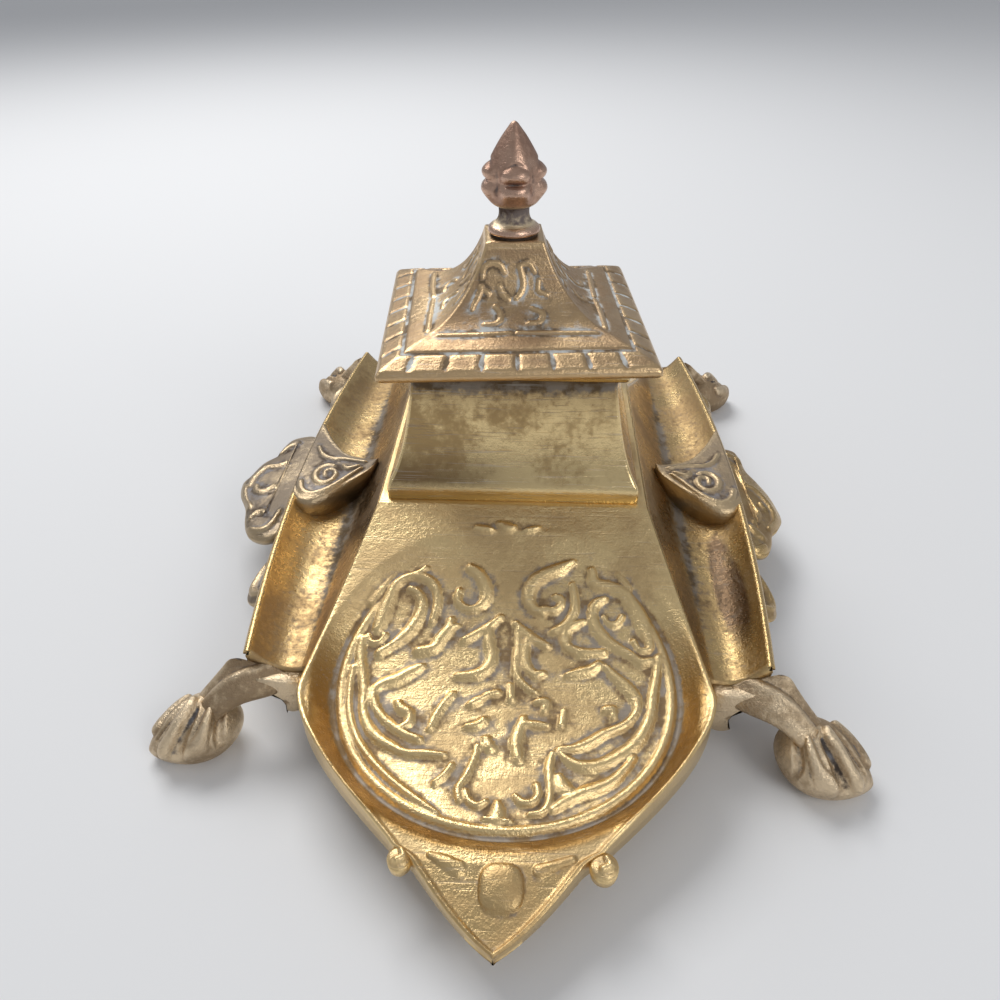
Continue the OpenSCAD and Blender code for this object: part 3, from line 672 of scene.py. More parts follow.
# %% The lid's skin
lid_curve = bezier((20.2, 70.8), (13.5, 72), (8.8, 78.5), (6.4, 86.4), 40)
lid_outside = np.concatenate((
    [(29.6, 65.4), (30, 65.8), (30, 66.8), (29.4, 67.5), (24.3, 69.6), (22.2, 70.3)], lid_curve))
lid_inside = np.concatenate((
    [(5, 86.4), (2, 86.4), (2, 82.8), (5.4, 82.8)],
    bezier((7, 76.4), (11.4, 70.2), (17.8, 68.8), (20.2, 67.6), 14),
    [(20.2, 65.4), (20.5, 65.4), (21, 65.4), (28.6, 65.4), (29.2, 65.4)]))
outer, run = resample(lid_outside, 0.34)
profile = np.concatenate((outer, lid_inside))
radius = np.interp(profile[:, 1], (65, 70, 72, 86), (0.9, 0.7, 0.5, 0.6))
x, y, place, face = square_rings(profile[:, 0], np.minimum(radius, profile[:, 0] * 0.6), 84)
rings = np.stack((x, y, profile[:, 1:2] + 0 * x), -1)
count = len(outer)
push = lid_relief(place[:count], np.broadcast_to(run[:, None], place[:count].shape), face[:count])
facing = grid_normals(rings, True)
points_out = (facing[count // 2, :8] * rings[count // 2, :8]).sum() > 0
rings[:count] += facing[:count] * push[..., None] * (1 if points_out else -1)


def askew(points):
    """The lid's own turn and sideways set on its worn hinge."""
    turned = points.copy()
    turned[..., 0] = points[..., 0] * np.cos(LID_TURN) - points[..., 1] * np.sin(LID_TURN) + LID_SET
    turned[..., 1] = points[..., 0] * np.sin(LID_TURN) + points[..., 1] * np.cos(LID_TURN)
    return turned


# Painted shade of the front, right, back and left faces, darkest on the back; the left one clears
# towards its top
dark = np.choose(face, (0.6, 0.5, 0.85, 0.55)) + 0 * x
dark[:count] *= np.where(face[:count] == 3, 1 - smooth_step(7, 14, run[:, None]), 1)
skin("lid_casting", askew(rings), "lid_brass", caps="join", stain_and_shade=dark, body="lid_body",
     replaces=("lid",))
lid_knuckle = prism(knuckle_outline([(26.2, 65.9), (26, 65.2), (26.6, 63)]), -4, 4, "x")
skin("lid_knuckle", lid_knuckle, "lid_brass", body="lid_body")

# %% [markdown]
# ## The finial
#
# The finial is turned at its collar and neck, and then cast as a bud. Four thick petals close
# round the bud, each with a crease across it like a pair of lips, and a plain point rises out
# of them.

# %% The finial
PETAL_REACH = 7.25      # how far the petals may stand out from the finial's axis
petal_profile = np.concatenate((
    [(0.02, 77.4), (1.7, 77.4), (1.9, 77.6), (1.9, 86.8), (5.3, 86.8), (5.7, 87.1), (5.8, 87.5),
     (5.6, 88.1), (5, 88.6)],
    bezier((4.4, 88.9), (3.5, 89.6), (3.2, 90.6), (3.4, 92.2), 8),
    bezier((3.6, 92.6), (5.2, 92.9), (6, 94.2), (6.2, 96), 20)[1:],
    bezier((6.2, 96), (6.3, 97.6), (6.1, 99.4), (5.6, 101), 28)[1:],
    bezier((5.6, 101), (4.8, 103), (2.6, 106.5), (1, 108.7), 26)[1:],
    bezier((1, 108.7), (0.7, 109.15), (0.3, 109.35), (0.02, 109.4), 6)[1:]))
turn = np.radians(np.arange(0, 360, 3.6))[None]
radius, z = petal_profile[:, :1], petal_profile[:, 1:2]
off_petal = np.abs((np.degrees(turn) + 45) % 90 - 45)
petal = np.exp(-((off_petal / 32) ** 4))
upper_lip = 1.05 * bell(z, 99.9, 1.3)
lower_lip = 0.95 * bell(z, 96.3, 1.6)
crease = 0.8 * bell(z, 98.15, 0.45) * bell(off_petal, 0, 24)
rim = 0.4 * bell(z, 101.9 - 0.0016 * off_petal**2, 0.4) * petal
valley = 0.85 * bell(z, 97.5, 3.6) * (1 - petal)
ribs = 0.18 * np.cos(np.radians(4 * off_petal))
ribs = ribs * smooth_step(101, 103, z) * smooth_step(109, 106, z)
above = smooth_step(93, 94.5, z)
spread = radius + above * (petal * (upper_lip + lower_lip) - crease - rim - valley + ribs)
spread = np.maximum(np.minimum(spread, PETAL_REACH), 0.02)
z = z + 0 * turn
rings = np.stack((spread * np.cos(turn), spread * np.sin(turn), z), -1)
neck = smooth_step(88, 88.8, z) * smooth_step(94, 92.4, z)
skin("bud_finial", askew(rings), "finial_brass", stain_and_shade=neck, body="lid_body", replaces=("finial",))

# %% [markdown]
# ## Wings, saddles, brackets and leaves
#
# Each wing is a pen trough: its cross-section runs from the joint line down the slope, along
# the rounded trough and up to a rolled lip that bows outward. The right trough is worked out,
# and the left one is its mirror image. Only their stains and painted shade differ: the right
# one has the dark oval patch that the photograph shows, and the slope wall of each is darkened
# as painted shade, the left one more.

# %% The wings
TROUGH_HALF, LIP_X, LIP_Z, LIP_BOW = 68.0, 52.3, 23.3, 4.5


def bow(y):
    """How far the lip bows out at y: most in the middle, nothing at the ends."""
    return LIP_BOW * (1 - (y / TROUGH_HALF) ** 2)


def trough_curve(y, t):
    """The trough's hollow in cross-section, a cubic curve from its floor's inner side to the lip."""
    ends = (FLOOR_X, FLOOR_X + 5 + bow(y) / 2, LIP_X - 3 + bow(y), LIP_X + bow(y))
    heights = (FLOOR_Z, FLOOR_Z - 1, FLOOR_Z + 1.2, LIP_Z)
    weights = ((1 - t)**3, 3 * (1 - t)**2 * t, 3 * (1 - t) * t**2, t**3)
    x = sum(w * e for w, e in zip(weights, ends))
    z = sum(w * h for w, h in zip(weights, heights))
    return x, z + 0 * y


y = np.linspace(-TROUGH_HALF, TROUGH_HALF, 137)[:, None]
wall_x = edge_x(y) + SEAM + (FLOOR_X - edge_x(y) - SEAM) * np.linspace(0, 1, 18)[None, :-1]
trough_x, trough_z = trough_curve(y, np.linspace(0, 1, 24)[None])
lip_x = trough_x[:, -1:] + np.array((0.5, 1.0, 1.35, 1.4))
lip_z = LIP_Z + np.array((0.12, -0.1, -0.55, -1.0)) + 0 * y
top_x = np.concatenate((wall_x, trough_x, lip_x), 1)
top_z = np.concatenate((slope_z(wall_x), trough_z, lip_z), 1)
section = np.stack((top_x, y + 0 * top_x, top_z), -1)
down = -grid_normals(section, False)
down = np.where(down[..., 2:] > 0, -down, down)
thick = np.full(top_x.shape[1], CAST)
thick[-8:] = (CAST, 2.2, 1.9, 1.7, 1.5, 1.2, 0.8, 0.4)
under = section + down * thick[:, None]
under[..., 1] = y
under[..., 0] = np.maximum(under[..., 0], edge_x(y) + SEAM)
wing_rings = np.concatenate((section, under[:, ::-1]), 1)
MIRROR = np.array((-1, 1, 1))
# Painted shade on the slope wall between the joint line and the trough floor, stronger on the left
# trough.
wall_shade = smooth_step(43, 40, wing_rings[..., 0])
ends = np.hypot((wing_rings[..., 0] - 50) / 3.4, (wing_rings[..., 1] + 40) / 20)
skin("right_trough", wing_rings, "stand_brass", caps="pair", replaces=("right_wing",),
     stain_and_shade=np.maximum(0.5 * wall_shade, 1.2 * smooth_step(1.1, 0.75, ends)))
skin("left_trough", wing_rings * MIRROR, "stand_brass", caps="pair", replaces=("left_wing",),
     stain_and_shade=0.85 * wall_shade)

# %% [markdown]
# ## The saddles
#
# A fan-shaped leaf bridges each trough, so that a pen lies on it without rolling. Its surface
# spans two curves, its front edge and its rear edge, and a rolled volute stands on top.

# %% The saddles
SADDLE_FRONT = [(37.2, 0), (38.5, -4), (41.8, -8.5), (45.2, -12.2), (48.2, -15.6), (51.7, -17.7),
                (55, -17.2), (57.6, -14)]
SADDLE_REAR = [(37.2, 0.4), (40, 1), (44, 2.6), (47.3, 5), (50.2, 9), (52.8, 13.4), (55, 18),
               (57, 22)]
VOLUTE = [
    [(48.5, -3, .7), (50.4, -2.6, .9), (52.3, -4, 1), (52.9, -6.6, 1.1), (51.8, -9.4, 1.1),
     (49.6, -10.4, 1), (47.8, -9, .9), (47.4, -6.4, .8), (48.8, -4.6, .7), (50.4, -5.4, .7),
     (50.2, -7, .6)],
    [(41, -4.4, .6), (43.6, -7.4, .8), (46.4, -11, .9), (49.4, -13.8, .9), (52.6, -14.8, 1),
     (55, -13, 1), (56.2, -9.4, 1)],
    [(40.5, -1.6, .6), (44.4, -.2, .8), (47, .6, .8), (50, .8, .8), (53, 3, .8), (55, 7, .8)],
    [(42, -3.4, .7), (44.6, -4.4, .9), (46, -3, .6)],
]


def saddle_points():
    """Surface between the leaf's front and rear edges, crowned a little and rolled down
    at both edges to the trough floor; the ornament stands on it."""
    front, rear = through(SADDLE_FRONT, 46), through(SADDLE_REAR, 46)
    v = np.linspace(0, 1, 48)[None, :, None]
    plan = front[:, None] * (1 - v) + rear[:, None] * v
    x, y = plan[..., 0], plan[..., 1]
    level = np.interp(x, (37, 42, 48, 54, 58), (24.9, 24.5, 24.1, 23.8, 23.5))
    edge = np.sin(np.pi * v[..., 0])
    z = level + 0.5 * edge - 1.2 * (1 - np.clip(edge * 7, 0, 1)) ** 2
    z = z + 0.75 * np.clip(edge * 3, 0, 1) * ridges(x, y, VOLUTE)
    return np.stack((x, y, z), -1)


saddle_top = saddle_points()
skirt = saddle_top.copy()
skirt[..., 2] = np.minimum(saddle_top[..., 2] - 0.4, np.maximum(slope_z(skirt[..., 0]) - 1.2, 17.5))
saddle_rings = np.concatenate((saddle_top, skirt[:, ::-1]), 1)
skin("right_saddle", saddle_rings, "stand_brass", caps="pair")
skin("left_saddle", saddle_rings * MIRROR, "stand_brass", caps="pair", stain_and_shade=0.75)

# %% [markdown]
# ## Scroll brackets and leaf tabs
#
# These ornaments are thick cast plates with a soft, swollen face. Each starts as an outline.
# Smaller copies of the outline shrink toward its spine and rise, as a cushion does, and the
# scroll strokes stand on top.

# %% A swollen plate
def cushion(outline, spine, thick, swell, tilt, strokes, rounds=16):
    """Rings of a swollen plate. The outline is drawn flat in plan; tilt(x) gives the height
    of the plate's middle, swell how far the face rises, thick how deep the plate is."""
    edge = through(outline + outline[:1], 150)[:-1]
    low, high, axis_x = spine
    core = np.column_stack((np.full(len(edge), axis_x), np.clip(edge[:, 1], low, high)))
    k = np.concatenate((np.linspace(0.03, 0.9, rounds), [0.95, 0.985, 1], [1, 0.97],
                        np.linspace(0.9, 0.03, 4)))
    plan = core + (edge - core) * k[:, None, None]
    top = np.arange(len(k)) < rounds + 3
    dome = swell * np.sqrt(np.clip(1 - k**3.2, 0, 1))[:, None]
    height = dome + 0.9 * ridges(plan[..., 0], plan[..., 1], strokes) * (1 - k**8)[:, None]
    z = tilt(plan[..., 0]) + np.where(top[:, None], height, -thick * (1 - k**6)[:, None] ** 0.5)
    return np.concatenate((plan, z[..., None]), -1)


print("a cushion's outline is drawn through 149 points")

# %% The scroll brackets
RIGHT_BRACKET = [
    (58.2, 20), (60.6, 21.4), (63.6, 21.3), (64.9, 16.5), (65.5, 12), (67.9, 8.5), (70.2, 4.1),
    (71.2, -.4), (71.6, -5.8), (69.6, -10.4), (66.9, -14.4), (65.5, -19.4), (63.8, -23.2),
    (61.2, -25.4), (58.8, -25.2), (57.4, -21), (57, -12), (57.2, 0), (57.4, 12)]
RIGHT_LOBES = [
    [(60.6, 16.6, 1.2), (63, 15.8, 1.6)],
    [(61.9, 9.8, .8), (62.8, 3.6, .9), (65, 2.9, 1.1), (67.2, .7, 1.3), (68.8, -2.7, 1.3),
     (69.5, -6.3, 1.3), (68.6, -10, 1.1), (66.2, -14, .9)],
    [(62.7, -5.6, .8), (63.9, -8, .9), (63.9, -10.3, .9), (61.8, -14.1, .8)],
    [(65.6, -3.9, .6), (66.9, -5.9, .5)],
    [(60.3, -16.8, 1.2), (61.6, -18.6, 1.7), (62.6, -19.6, 1.2)],
    [(58.6, -18, .7), (58.6, -23, 1), (60.2, -25, 1.2), (62.8, -22.8, .9)],
]
LEFT_BRACKET = [
    (58.4, 20.4), (61.7, 22.6), (67, 21.6), (69.2, 17.3), (70, 12.8), (73.4, 9.6), (75.2, 4),
    (76.4, .7), (75.2, -5), (71.8, -11.7), (70, -18), (67.6, -23), (63.2, -25.6), (60, -24.8),
    (57.8, -21), (57, -12), (57.2, 0), (57.4, 12)]
LEFT_LOBES = [
    [(68.4, 12.8, .9), (67.4, 15, 1.3), (65, 17.2, 1.7)],
    [(64.6, 7.4, .7), (67.4, 6, 1), (70.6, 6.2, 1.2), (72.1, 4.2, 1.2), (73.2, 1, 1.1), (73, -2.4, .9)],
    [(71.2, -2.8, .9), (70.2, -5.4, 1.2), (67.8, -6.2, 1.3), (65.8, -4, 1)],
    [(75, -1.6, .9), (74, -5.6, .9), (72.4, -8.9, .9), (70.3, -12.3, 1.2)],
    [(68.4, -17.8, .8), (67.4, -16, 1.1), (65.8, -15.4, 1.1), (64.6, -16.6, .8)],
    [(67.6, -22, 1), (65.2, -23, 1.3), (62.8, -22.6, 1.1), (61.4, -20, .9), (60.9, -15.4, .8)],
]
# The left bracket has been bent up nearly level, and its metal has gone almost grey
for name, flip, middle, slope, outline, lobes in (
        ("right_scroll", 1, 62.5, 0.40, RIGHT_BRACKET, RIGHT_LOBES),
        ("left_scroll", -1, 64.5, 0.14, LEFT_BRACKET, LEFT_LOBES)):
    plate = cushion(outline, (-17, 17, middle), 3.2, 1.5, lambda x: 18.1 - slope * (x - 56), lobes)
    skin(name, plate * (flip, 1, 1), "stand_brass", stain_and_shade=0.8 if flip < 0 else 0.2)

# %% The leaf tabs
TAB = [(-.6, 9), (1.6, 8.4), (4.5, 5), (6.5, 1.5), (7.2, -2), (6.4, -5.4), (4.4, -7.8), (1.8, -8.8),
       (-.6, -8.8), (-.9, 0)]
TAB_VEINS = [[(.8, -6.6, .9), (3.6, -5.4, 1.1), (5, -2.4, 1.1), (4, 1.8, .9), (1.8, 5.4, .6)],
             [(1.2, -2.6, .7), (2.2, .4, .5)]]
TAB_Y, TAB_Z = 42, 20.2
for name, flip, back in (("right_front", 1, -1), ("left_front", -1, -1),
                         ("right_rear", 1, 1), ("left_rear", -1, 1)):
    leaf = cushion(TAB, (-4, 4, 2.5), 1.6, 1.1, lambda x: 0 * x, TAB_VEINS, 9)
    outward_by, along_lip, up_by = leaf[..., 0], leaf[..., 1], leaf[..., 2]
    lean = np.radians(36 if flip > 0 else 30)
    x = LIP_X + bow(TAB_Y) - 0.6 + outward_by * np.cos(lean) + up_by * np.sin(lean)
    z = TAB_Z - outward_by * np.sin(lean) + up_by * np.cos(lean)
    leaf = np.stack((x * flip, (TAB_Y - along_lip) * back, z), -1)
    skin(name + "_leaf", leaf, "stand_brass", stain_and_shade=0.6 if flip < 0 else 0.3)

# %% The two curled ears where the dish's rim meets the tip plate
EARS = {"left_ear": (-16.9, -105.1, 2.1), "right_ear": (18.3, -105.2, 2.5)}
for name, (x, y, size) in EARS.items():
    turn = np.radians(np.arange(0, 360, 20))
    circle = [(x + size * np.cos(a), y + size * np.sin(a)) for a in turn]
    curl = [[(x - .3, y - .9, .8), (x + .9, y - .2, .8), (x + .4, y + 1, .7)]]
    ear = cushion(circle, (y - 0.3, y + 0.3, x), 3.6, 0.9, lambda x: 13.3 + 0 * x, curl, 9)
    skin(name, ear, "tray_brass")

# %% [markdown]
# ## The feet
#
# Each foot grows from the end of a trough, turns outward and lands as a paw: a swollen oval
# that tapers to a toe, with long talons laid over it. The functions draw the front right foot.
# The others are its mirror images, except that the front left one has been bent back a little.

# %% Leg and paw, seen as the front right foot
BALL_R, PAW_H = 8.2, 6.9        # half width of the paw and height of its middle
TOE_AIM, TALON_AIM = np.radians(-21), np.radians(-39)
TALONS = [
    [(-1.8, -2.5, .7), (-.2, -4.2, 1), (1.5, -5.5, 1.2), (3.8, -6.2, 1.4), (6.2, -5.6, 1.2)],
    [(.2, 1.8, .9), (1, 1.2, 1.2), (4.1, -.4, 1.4), (6.8, -1.2, 1.4), (9.2, -.9, 1.3)],
    [(.6, 6.8, 1), (4.1, 6.5, 1.4), (6.6, 5.9, 1.4), (8.4, 4.6, 1.2)],
]
GROOVES = [
    [(1.2, 3.8, .5), (3.7, 3, .8), (6.2, 2.1, .8), (8.3, 2, .7), (9.3, 1.9, .5)],
    [(.6, -.7, .6), (2.2, -1.8, 1.2), (5, -3, 1.5), (6.9, -3.4, 1.5), (8.8, -3.4, 1.2)],
    [(-3.4, -3.6, .7), (-1.8, -5.8, 1), (-.4, -7.4, 1)],
]
LEG = np.array([
    (49.3, -68.15, 16.9, -90, 6.4, 2.4, .42), (52.8, -70.2, 16.5, -66, 5.3, 2.7, .3),
    (56.2, -72, 15.2, -45, 4.2, 3, .12), (59.4, -73.8, 12.6, -35, 3.8, 3.2, 0),
    (62.4, -75.2, 9, -30, 4, 3.4, 0)])


def limb(stations, count):
    """Oval rings along a limb, with two ridges and a groove between them. Each station gives
    x, y, z, heading, half width, half height and lean; those between are smoothly filled in."""
    s = through(stations, count)
    t = np.radians(np.arange(0, 360, 4))[None]
    x, y, z, heading, wide, high, lean = (s[:, k:k + 1] for k in range(7))
    heading, degrees = np.radians(heading), np.degrees(t)
    body = 1 + 0.14 * bell(degrees, 96, 12) + 0.18 * bell(degrees, 40, 15)
    body = body - 0.16 * bell(degrees, 68, 10)
    side, rise = wide * body * np.cos(t), high * body * np.sin(t)
    return np.stack((x - np.sin(heading) * side, y + np.cos(heading) * side,
                     z + rise + lean * side), -1)


def paw_rings(count, ball, girth):
    """Egg from heel to toe. The talons are strokes over it, laid out from the ball's middle
    along the way they point, and raised or sunk along the egg's own normals."""
    s = np.linspace(0.004, 0.996, count)[:, None]
    t = np.radians(np.arange(0, 360, 3))[None]
    full = np.sin(np.pi * s**0.8) ** 0.65
    ahead = -0.98 * BALL_R + 2.45 * BALL_R * s
    side = girth * BALL_R * full * np.cos(t)
    x = ahead * np.cos(TOE_AIM) - side * np.sin(TOE_AIM)
    y = ahead * np.sin(TOE_AIM) + side * np.cos(TOE_AIM)
    z = PAW_H * (1 + full * np.sin(t)) - 0.4 - 3.8 * s**1.6
    egg = np.stack((x, y, z), -1)
    forward = x * np.cos(TALON_AIM) + y * np.sin(TALON_AIM)
    aside = y * np.cos(TALON_AIM) - x * np.sin(TALON_AIM)
    height = 1.1 * ridges(forward, aside, TALONS) - 0.9 * ridges(forward, aside, GROOVES, 1.0)
    upper = smooth_step(-0.3, 0.4, np.sin(t))
    egg = egg + grid_normals(egg, True) * (height * upper)[..., None] + (*ball, 0)
    egg[..., 2] = np.maximum(egg[..., 2], 0.02)
    return egg


def arch_rings(drop):
    """The arched bracket across the trough's end, with its round drop and edges filed soft."""
    swing, below = np.radians(np.linspace(96, 196, 12)), np.radians(np.linspace(-50, -200, 14))
    arch = np.concatenate((
        [(46.2, 17.6), (48.6, 17.9), (51, 18.2), (51, 15.2)],
        np.column_stack((51.6 + 5.7 * np.cos(swing), 9.4 + 5.7 * np.sin(swing))),
        np.column_stack((44.7 + drop * np.cos(below), 12.8 - drop + drop * np.sin(below))),
        [(42.2, 13), (42.2, 17.6)]))
    steps = np.array([(-68.1, .93), (-68.3, 1), (-71, 1), (-71.3, .93)])
    middle = arch.mean(0)
    flat = middle + (arch - middle) * steps[:, 1][:, None, None]
    y = np.broadcast_to(steps[:, :1, None], flat.shape[:2] + (1,))
    return np.concatenate((flat[..., :1], y, flat[..., 1:]), -1)


print("a leg of", len(LEG), "stations and a paw with", len(TALONS), "talons")

# %% The four feet: where each ball stands, and how full it is
BALLS = {"foot_front_right": (63.0, -75.6, 1.0), "foot_front_left": (63.5, -73.4, 0.88),
         "foot_rear_right": (63.0, -75.6, 1.0), "foot_rear_left": (63.0, -75.6, 1.0)}
for name, (bx, by, girth) in BALLS.items():
    flip = (1 if "right" in name else -1, 1 if "front" in name else -1, 1)
    skin(name + "_paw", paw_rings(90, (bx, by), girth) * flip, "foot_brass", replaces=(name,))
    leg = LEG.copy()
    leg[:, :2] += np.array((0, .2, .5, .8, 1))[:, None] * (bx - 63, by + 75.6)
    skin(name + "_leg", limb(leg, 40) * flip, "foot_brass")
    skin(name + "_arch", arch_rings(3.1 if "right" in name else 2.2) * flip, "foot_brass")
    flange = [(43.6, -68), (51.6, -68), (51.6, -56), (43.6, -56)]
    skin(name + "_flange", prism(flange, 12.8, 15.2, "z") * flip, "foot_brass")

# %% [markdown]
# ## The rear apron
#
# The photograph hides the back, so this plate is a guess that follows from the rest: the same
# slope as beside the well, ending in a scalloped edge between the rear feet.

# %% The rear apron
v = np.linspace(0, 1, 70)[:, None]
u = np.linspace(-1, 1, 96)[None]
x = u * edge_x(DECK_HALF + 33 * v)
back = np.minimum(64, 98 - np.sqrt(np.clip(1600 - x**2, 0, None)))
y = DECK_HALF + SEAM + (back - DECK_HALF - SEAM) * v
x = np.clip(x, -edge_x(y), edge_x(y))
top = np.stack((x, y, edge_z(y)), -1)
apron = np.concatenate((top, top[:, ::-1] - (0, 0, 3.3)), 1)
skin("rear_slope", apron, "tray_brass", caps="pair", replaces=("rear_apron",))

# %% [markdown]
# ## Finishes
#
# All the castings share one kind of skin, so it is built once as a node group: a bare metal
# colour where cloths rub, a dull tarnish in broad clouds, and in the hollows dried polish and
# dirt. The piece's own stain-and-shade value lays a further colour: a real stain on some
# pieces and painted shade on others. Every casting sets its own colours on the group. First
# come short helpers, because a node takes several lines otherwise.

# %% Helpers for shader nodes
def add_node(tree, kind, inputs=None, **fields):
    """A shader node. Each input takes a plain value or another node's output."""
    made = tree.nodes.new("ShaderNode" + kind)
    for key, value in fields.items():
        setattr(made, key, value)
    for key, value in (inputs or {}).items():
        if isinstance(value, bpy.types.NodeSocket):
            tree.links.new(value, made.inputs[key])
        else:
            made.inputs[key].default_value = value
    return made


def blend(tree, share, first, second):
    """Colour mixed from two colours by a share from 0 to 1."""
    return add_node(tree, "Mix", {0: share, 6: first, 7: second}, data_type="RGBA").outputs[2]


def fit(tree, value, low, high, to_low=0.0, to_high=1.0):
    """Value carried from one range to another, smoothly and held at the ends."""
    inputs = {0: value, 1: low, 2: high, 3: to_low, 4: to_high}
    return add_node(tree, "MapRange", inputs, interpolation_type="SMOOTHSTEP").outputs[0]


def maths(tree, operation, *values):
    """Result of one arithmetic node on two or three values."""
    return add_node(tree, "Math", dict(enumerate(values)), operation=operation).outputs[0]


def noise(tree, place, scale, detail=4.0, rough=0.55):
    """Even noise between 0 and 1 at a scale counted per metre."""
    inputs = {"Vector": place, "Scale": scale, "Detail": detail, "Roughness": rough}
    return add_node(tree, "TexNoise", inputs).outputs[0]


def start_group(name, inputs, outputs):
    """Empty node group with named sockets; gives the group, its input and output nodes."""
    group = bpy.data.node_groups.new(name, "ShaderNodeTree")
    for label, kind, value in inputs:
        socket = group.interface.new_socket(label, in_out="INPUT", socket_type="NodeSocket" + kind)
        socket.default_value = value
    for label, kind in outputs:
        group.interface.new_socket(label, in_out="OUTPUT", socket_type="NodeSocket" + kind)
    return group, group.nodes.new("NodeGroupInput").outputs, group.nodes.new("NodeGroupOutput")


print("node helpers are ready")

# %% The shared skin of old cast metal
GREY = (0.5, 0.5, 0.5, 1.0)
cast_skin, given, result = start_group("cast_skin", [
    ("Bare", "Color", GREY), ("Dull", "Color", GREY), ("Dirt", "Color", GREY),
    ("Residue", "Color", GREY), ("Stain and shade", "Color", GREY), ("Tarnish", "Float", 0.5),
    ("Polish left", "Float", 0.5),
    ("Depth", "Float", 0.3)], [("Color", "Color"), ("Hollow", "Float"), ("Age", "Float"),
                               ("Height", "Float")])
place = add_node(cast_skin, "TexCoord").outputs["Object"]
relief = add_node(cast_skin, "Attribute", attribute_name="relief").outputs["Fac"]
clouds = noise(cast_skin, place, 65.0, 6.0, 0.6)
grain = noise(cast_skin, place, 700.0, 5.0, 0.6)
specks = noise(cast_skin, place, 2300.0, 3.0, 0.6)
depth = maths(cast_skin, "DIVIDE", relief, given["Depth"])
uneven = maths(cast_skin, "MULTIPLY_ADD", grain, 1.2, -0.6)
sunk = maths(cast_skin, "SUBTRACT", uneven, depth)
hollow = fit(cast_skin, sunk, 0.15, 0.75)
proud = fit(cast_skin, maths(cast_skin, "ADD", depth, uneven), 0.1, 0.9)
cloud_and_grain = maths(cast_skin, "MULTIPLY_ADD", grain, 0.35, clouds)
bound = maths(cast_skin, "SUBTRACT", 1.1, maths(cast_skin, "MULTIPLY", given["Tarnish"], 0.85))
tarnish = fit(cast_skin, maths(cast_skin, "SUBTRACT", cloud_and_grain, bound), -0.12, 0.12)
age = maths(cast_skin, "MULTIPLY", tarnish, maths(cast_skin, "SUBTRACT", 1.0, proud))
metal = blend(cast_skin, age, given["Bare"], given["Dull"])
# Stain and painted shade: the piece's stain_and_shade value, broken up by clouds and thinned where
# cloths rub, lays the Stain and shade colour; it is a real stain on some pieces and painted shade on
# others.
stain_and_shade = add_node(cast_skin, "Attribute", attribute_name="stain_and_shade").outputs["Fac"]
stain_and_shade = maths(cast_skin, "MULTIPLY", stain_and_shade, fit(cast_skin, clouds, 0.25, 0.5, 0.55, 1.0))
rubbed = maths(cast_skin, "MULTIPLY_ADD", proud, -0.5, 1.0)
stain_and_shade = maths(cast_skin, "MULTIPLY", stain_and_shade, rubbed)
metal = blend(cast_skin, stain_and_shade, metal, given["Stain and shade"])
left_over = fit(cast_skin, noise(cast_skin, place, 160.0, 5.0, 0.65), 0.42, 0.58)
left_over = maths(cast_skin, "MULTIPLY", left_over, given["Polish left"])
filling = blend(cast_skin, left_over, given["Dirt"], given["Residue"])
colour = blend(cast_skin, hollow, metal, filling)
height = maths(cast_skin, "MULTIPLY_ADD", specks, 0.4, maths(cast_skin, "MULTIPLY", grain, 0.6))
for label, value in (("Color", colour), ("Hollow", hollow), ("Age", age), ("Height", height)):
    cast_skin.links.new(value, result.inputs[label])
print("cast_skin", len(cast_skin.nodes), "nodes")

# %% [markdown]
# ## Scratches
#
# Cloths and fingernails leave long fine marks in a few directions. Noise that is stretched to
# a hundred times its width gives such marks, and three turns of it cross each other.

# %% Scratches from years of rubbing
hand_scratches, given, result = start_group(
    "hand_scratches", [("Amount", "Float", 0.5)], [("Mask", "Float")])
place = add_node(hand_scratches, "TexCoord").outputs["Object"]
marks = []
for turn, stretch in (((0.3, 0.5, 0.6), (60, 1900, 1900)), ((0.2, -0.4, 2.3), (50, 1500, 1500)),
                      ((0.9, 0.1, 1.2), (90, 2600, 2600))):
    aimed = add_node(hand_scratches, "Mapping", {0: place, 2: turn, 3: stretch}).outputs[0]
    streak = noise(hand_scratches, aimed, 1.0, 2.0, 0.5)
    marks.append(fit(hand_scratches, streak, 0.62, 0.74))
strongest = maths(hand_scratches, "MAXIMUM", marks[0], marks[1])
strongest = maths(hand_scratches, "MAXIMUM", strongest, marks[2])
amount = maths(hand_scratches, "MULTIPLY", strongest, given["Amount"])
hand_scratches.links.new(amount, result.inputs["Mask"])
print("hand_scratches", len(hand_scratches.nodes), "nodes")

# %% [markdown]
# ## The metal shader
#
# The two groups meet in one metal shader. Dirt and dried polish aren't metal, so they take the
# shine off where they lie, and scratches roughen the surface and catch pale polish.

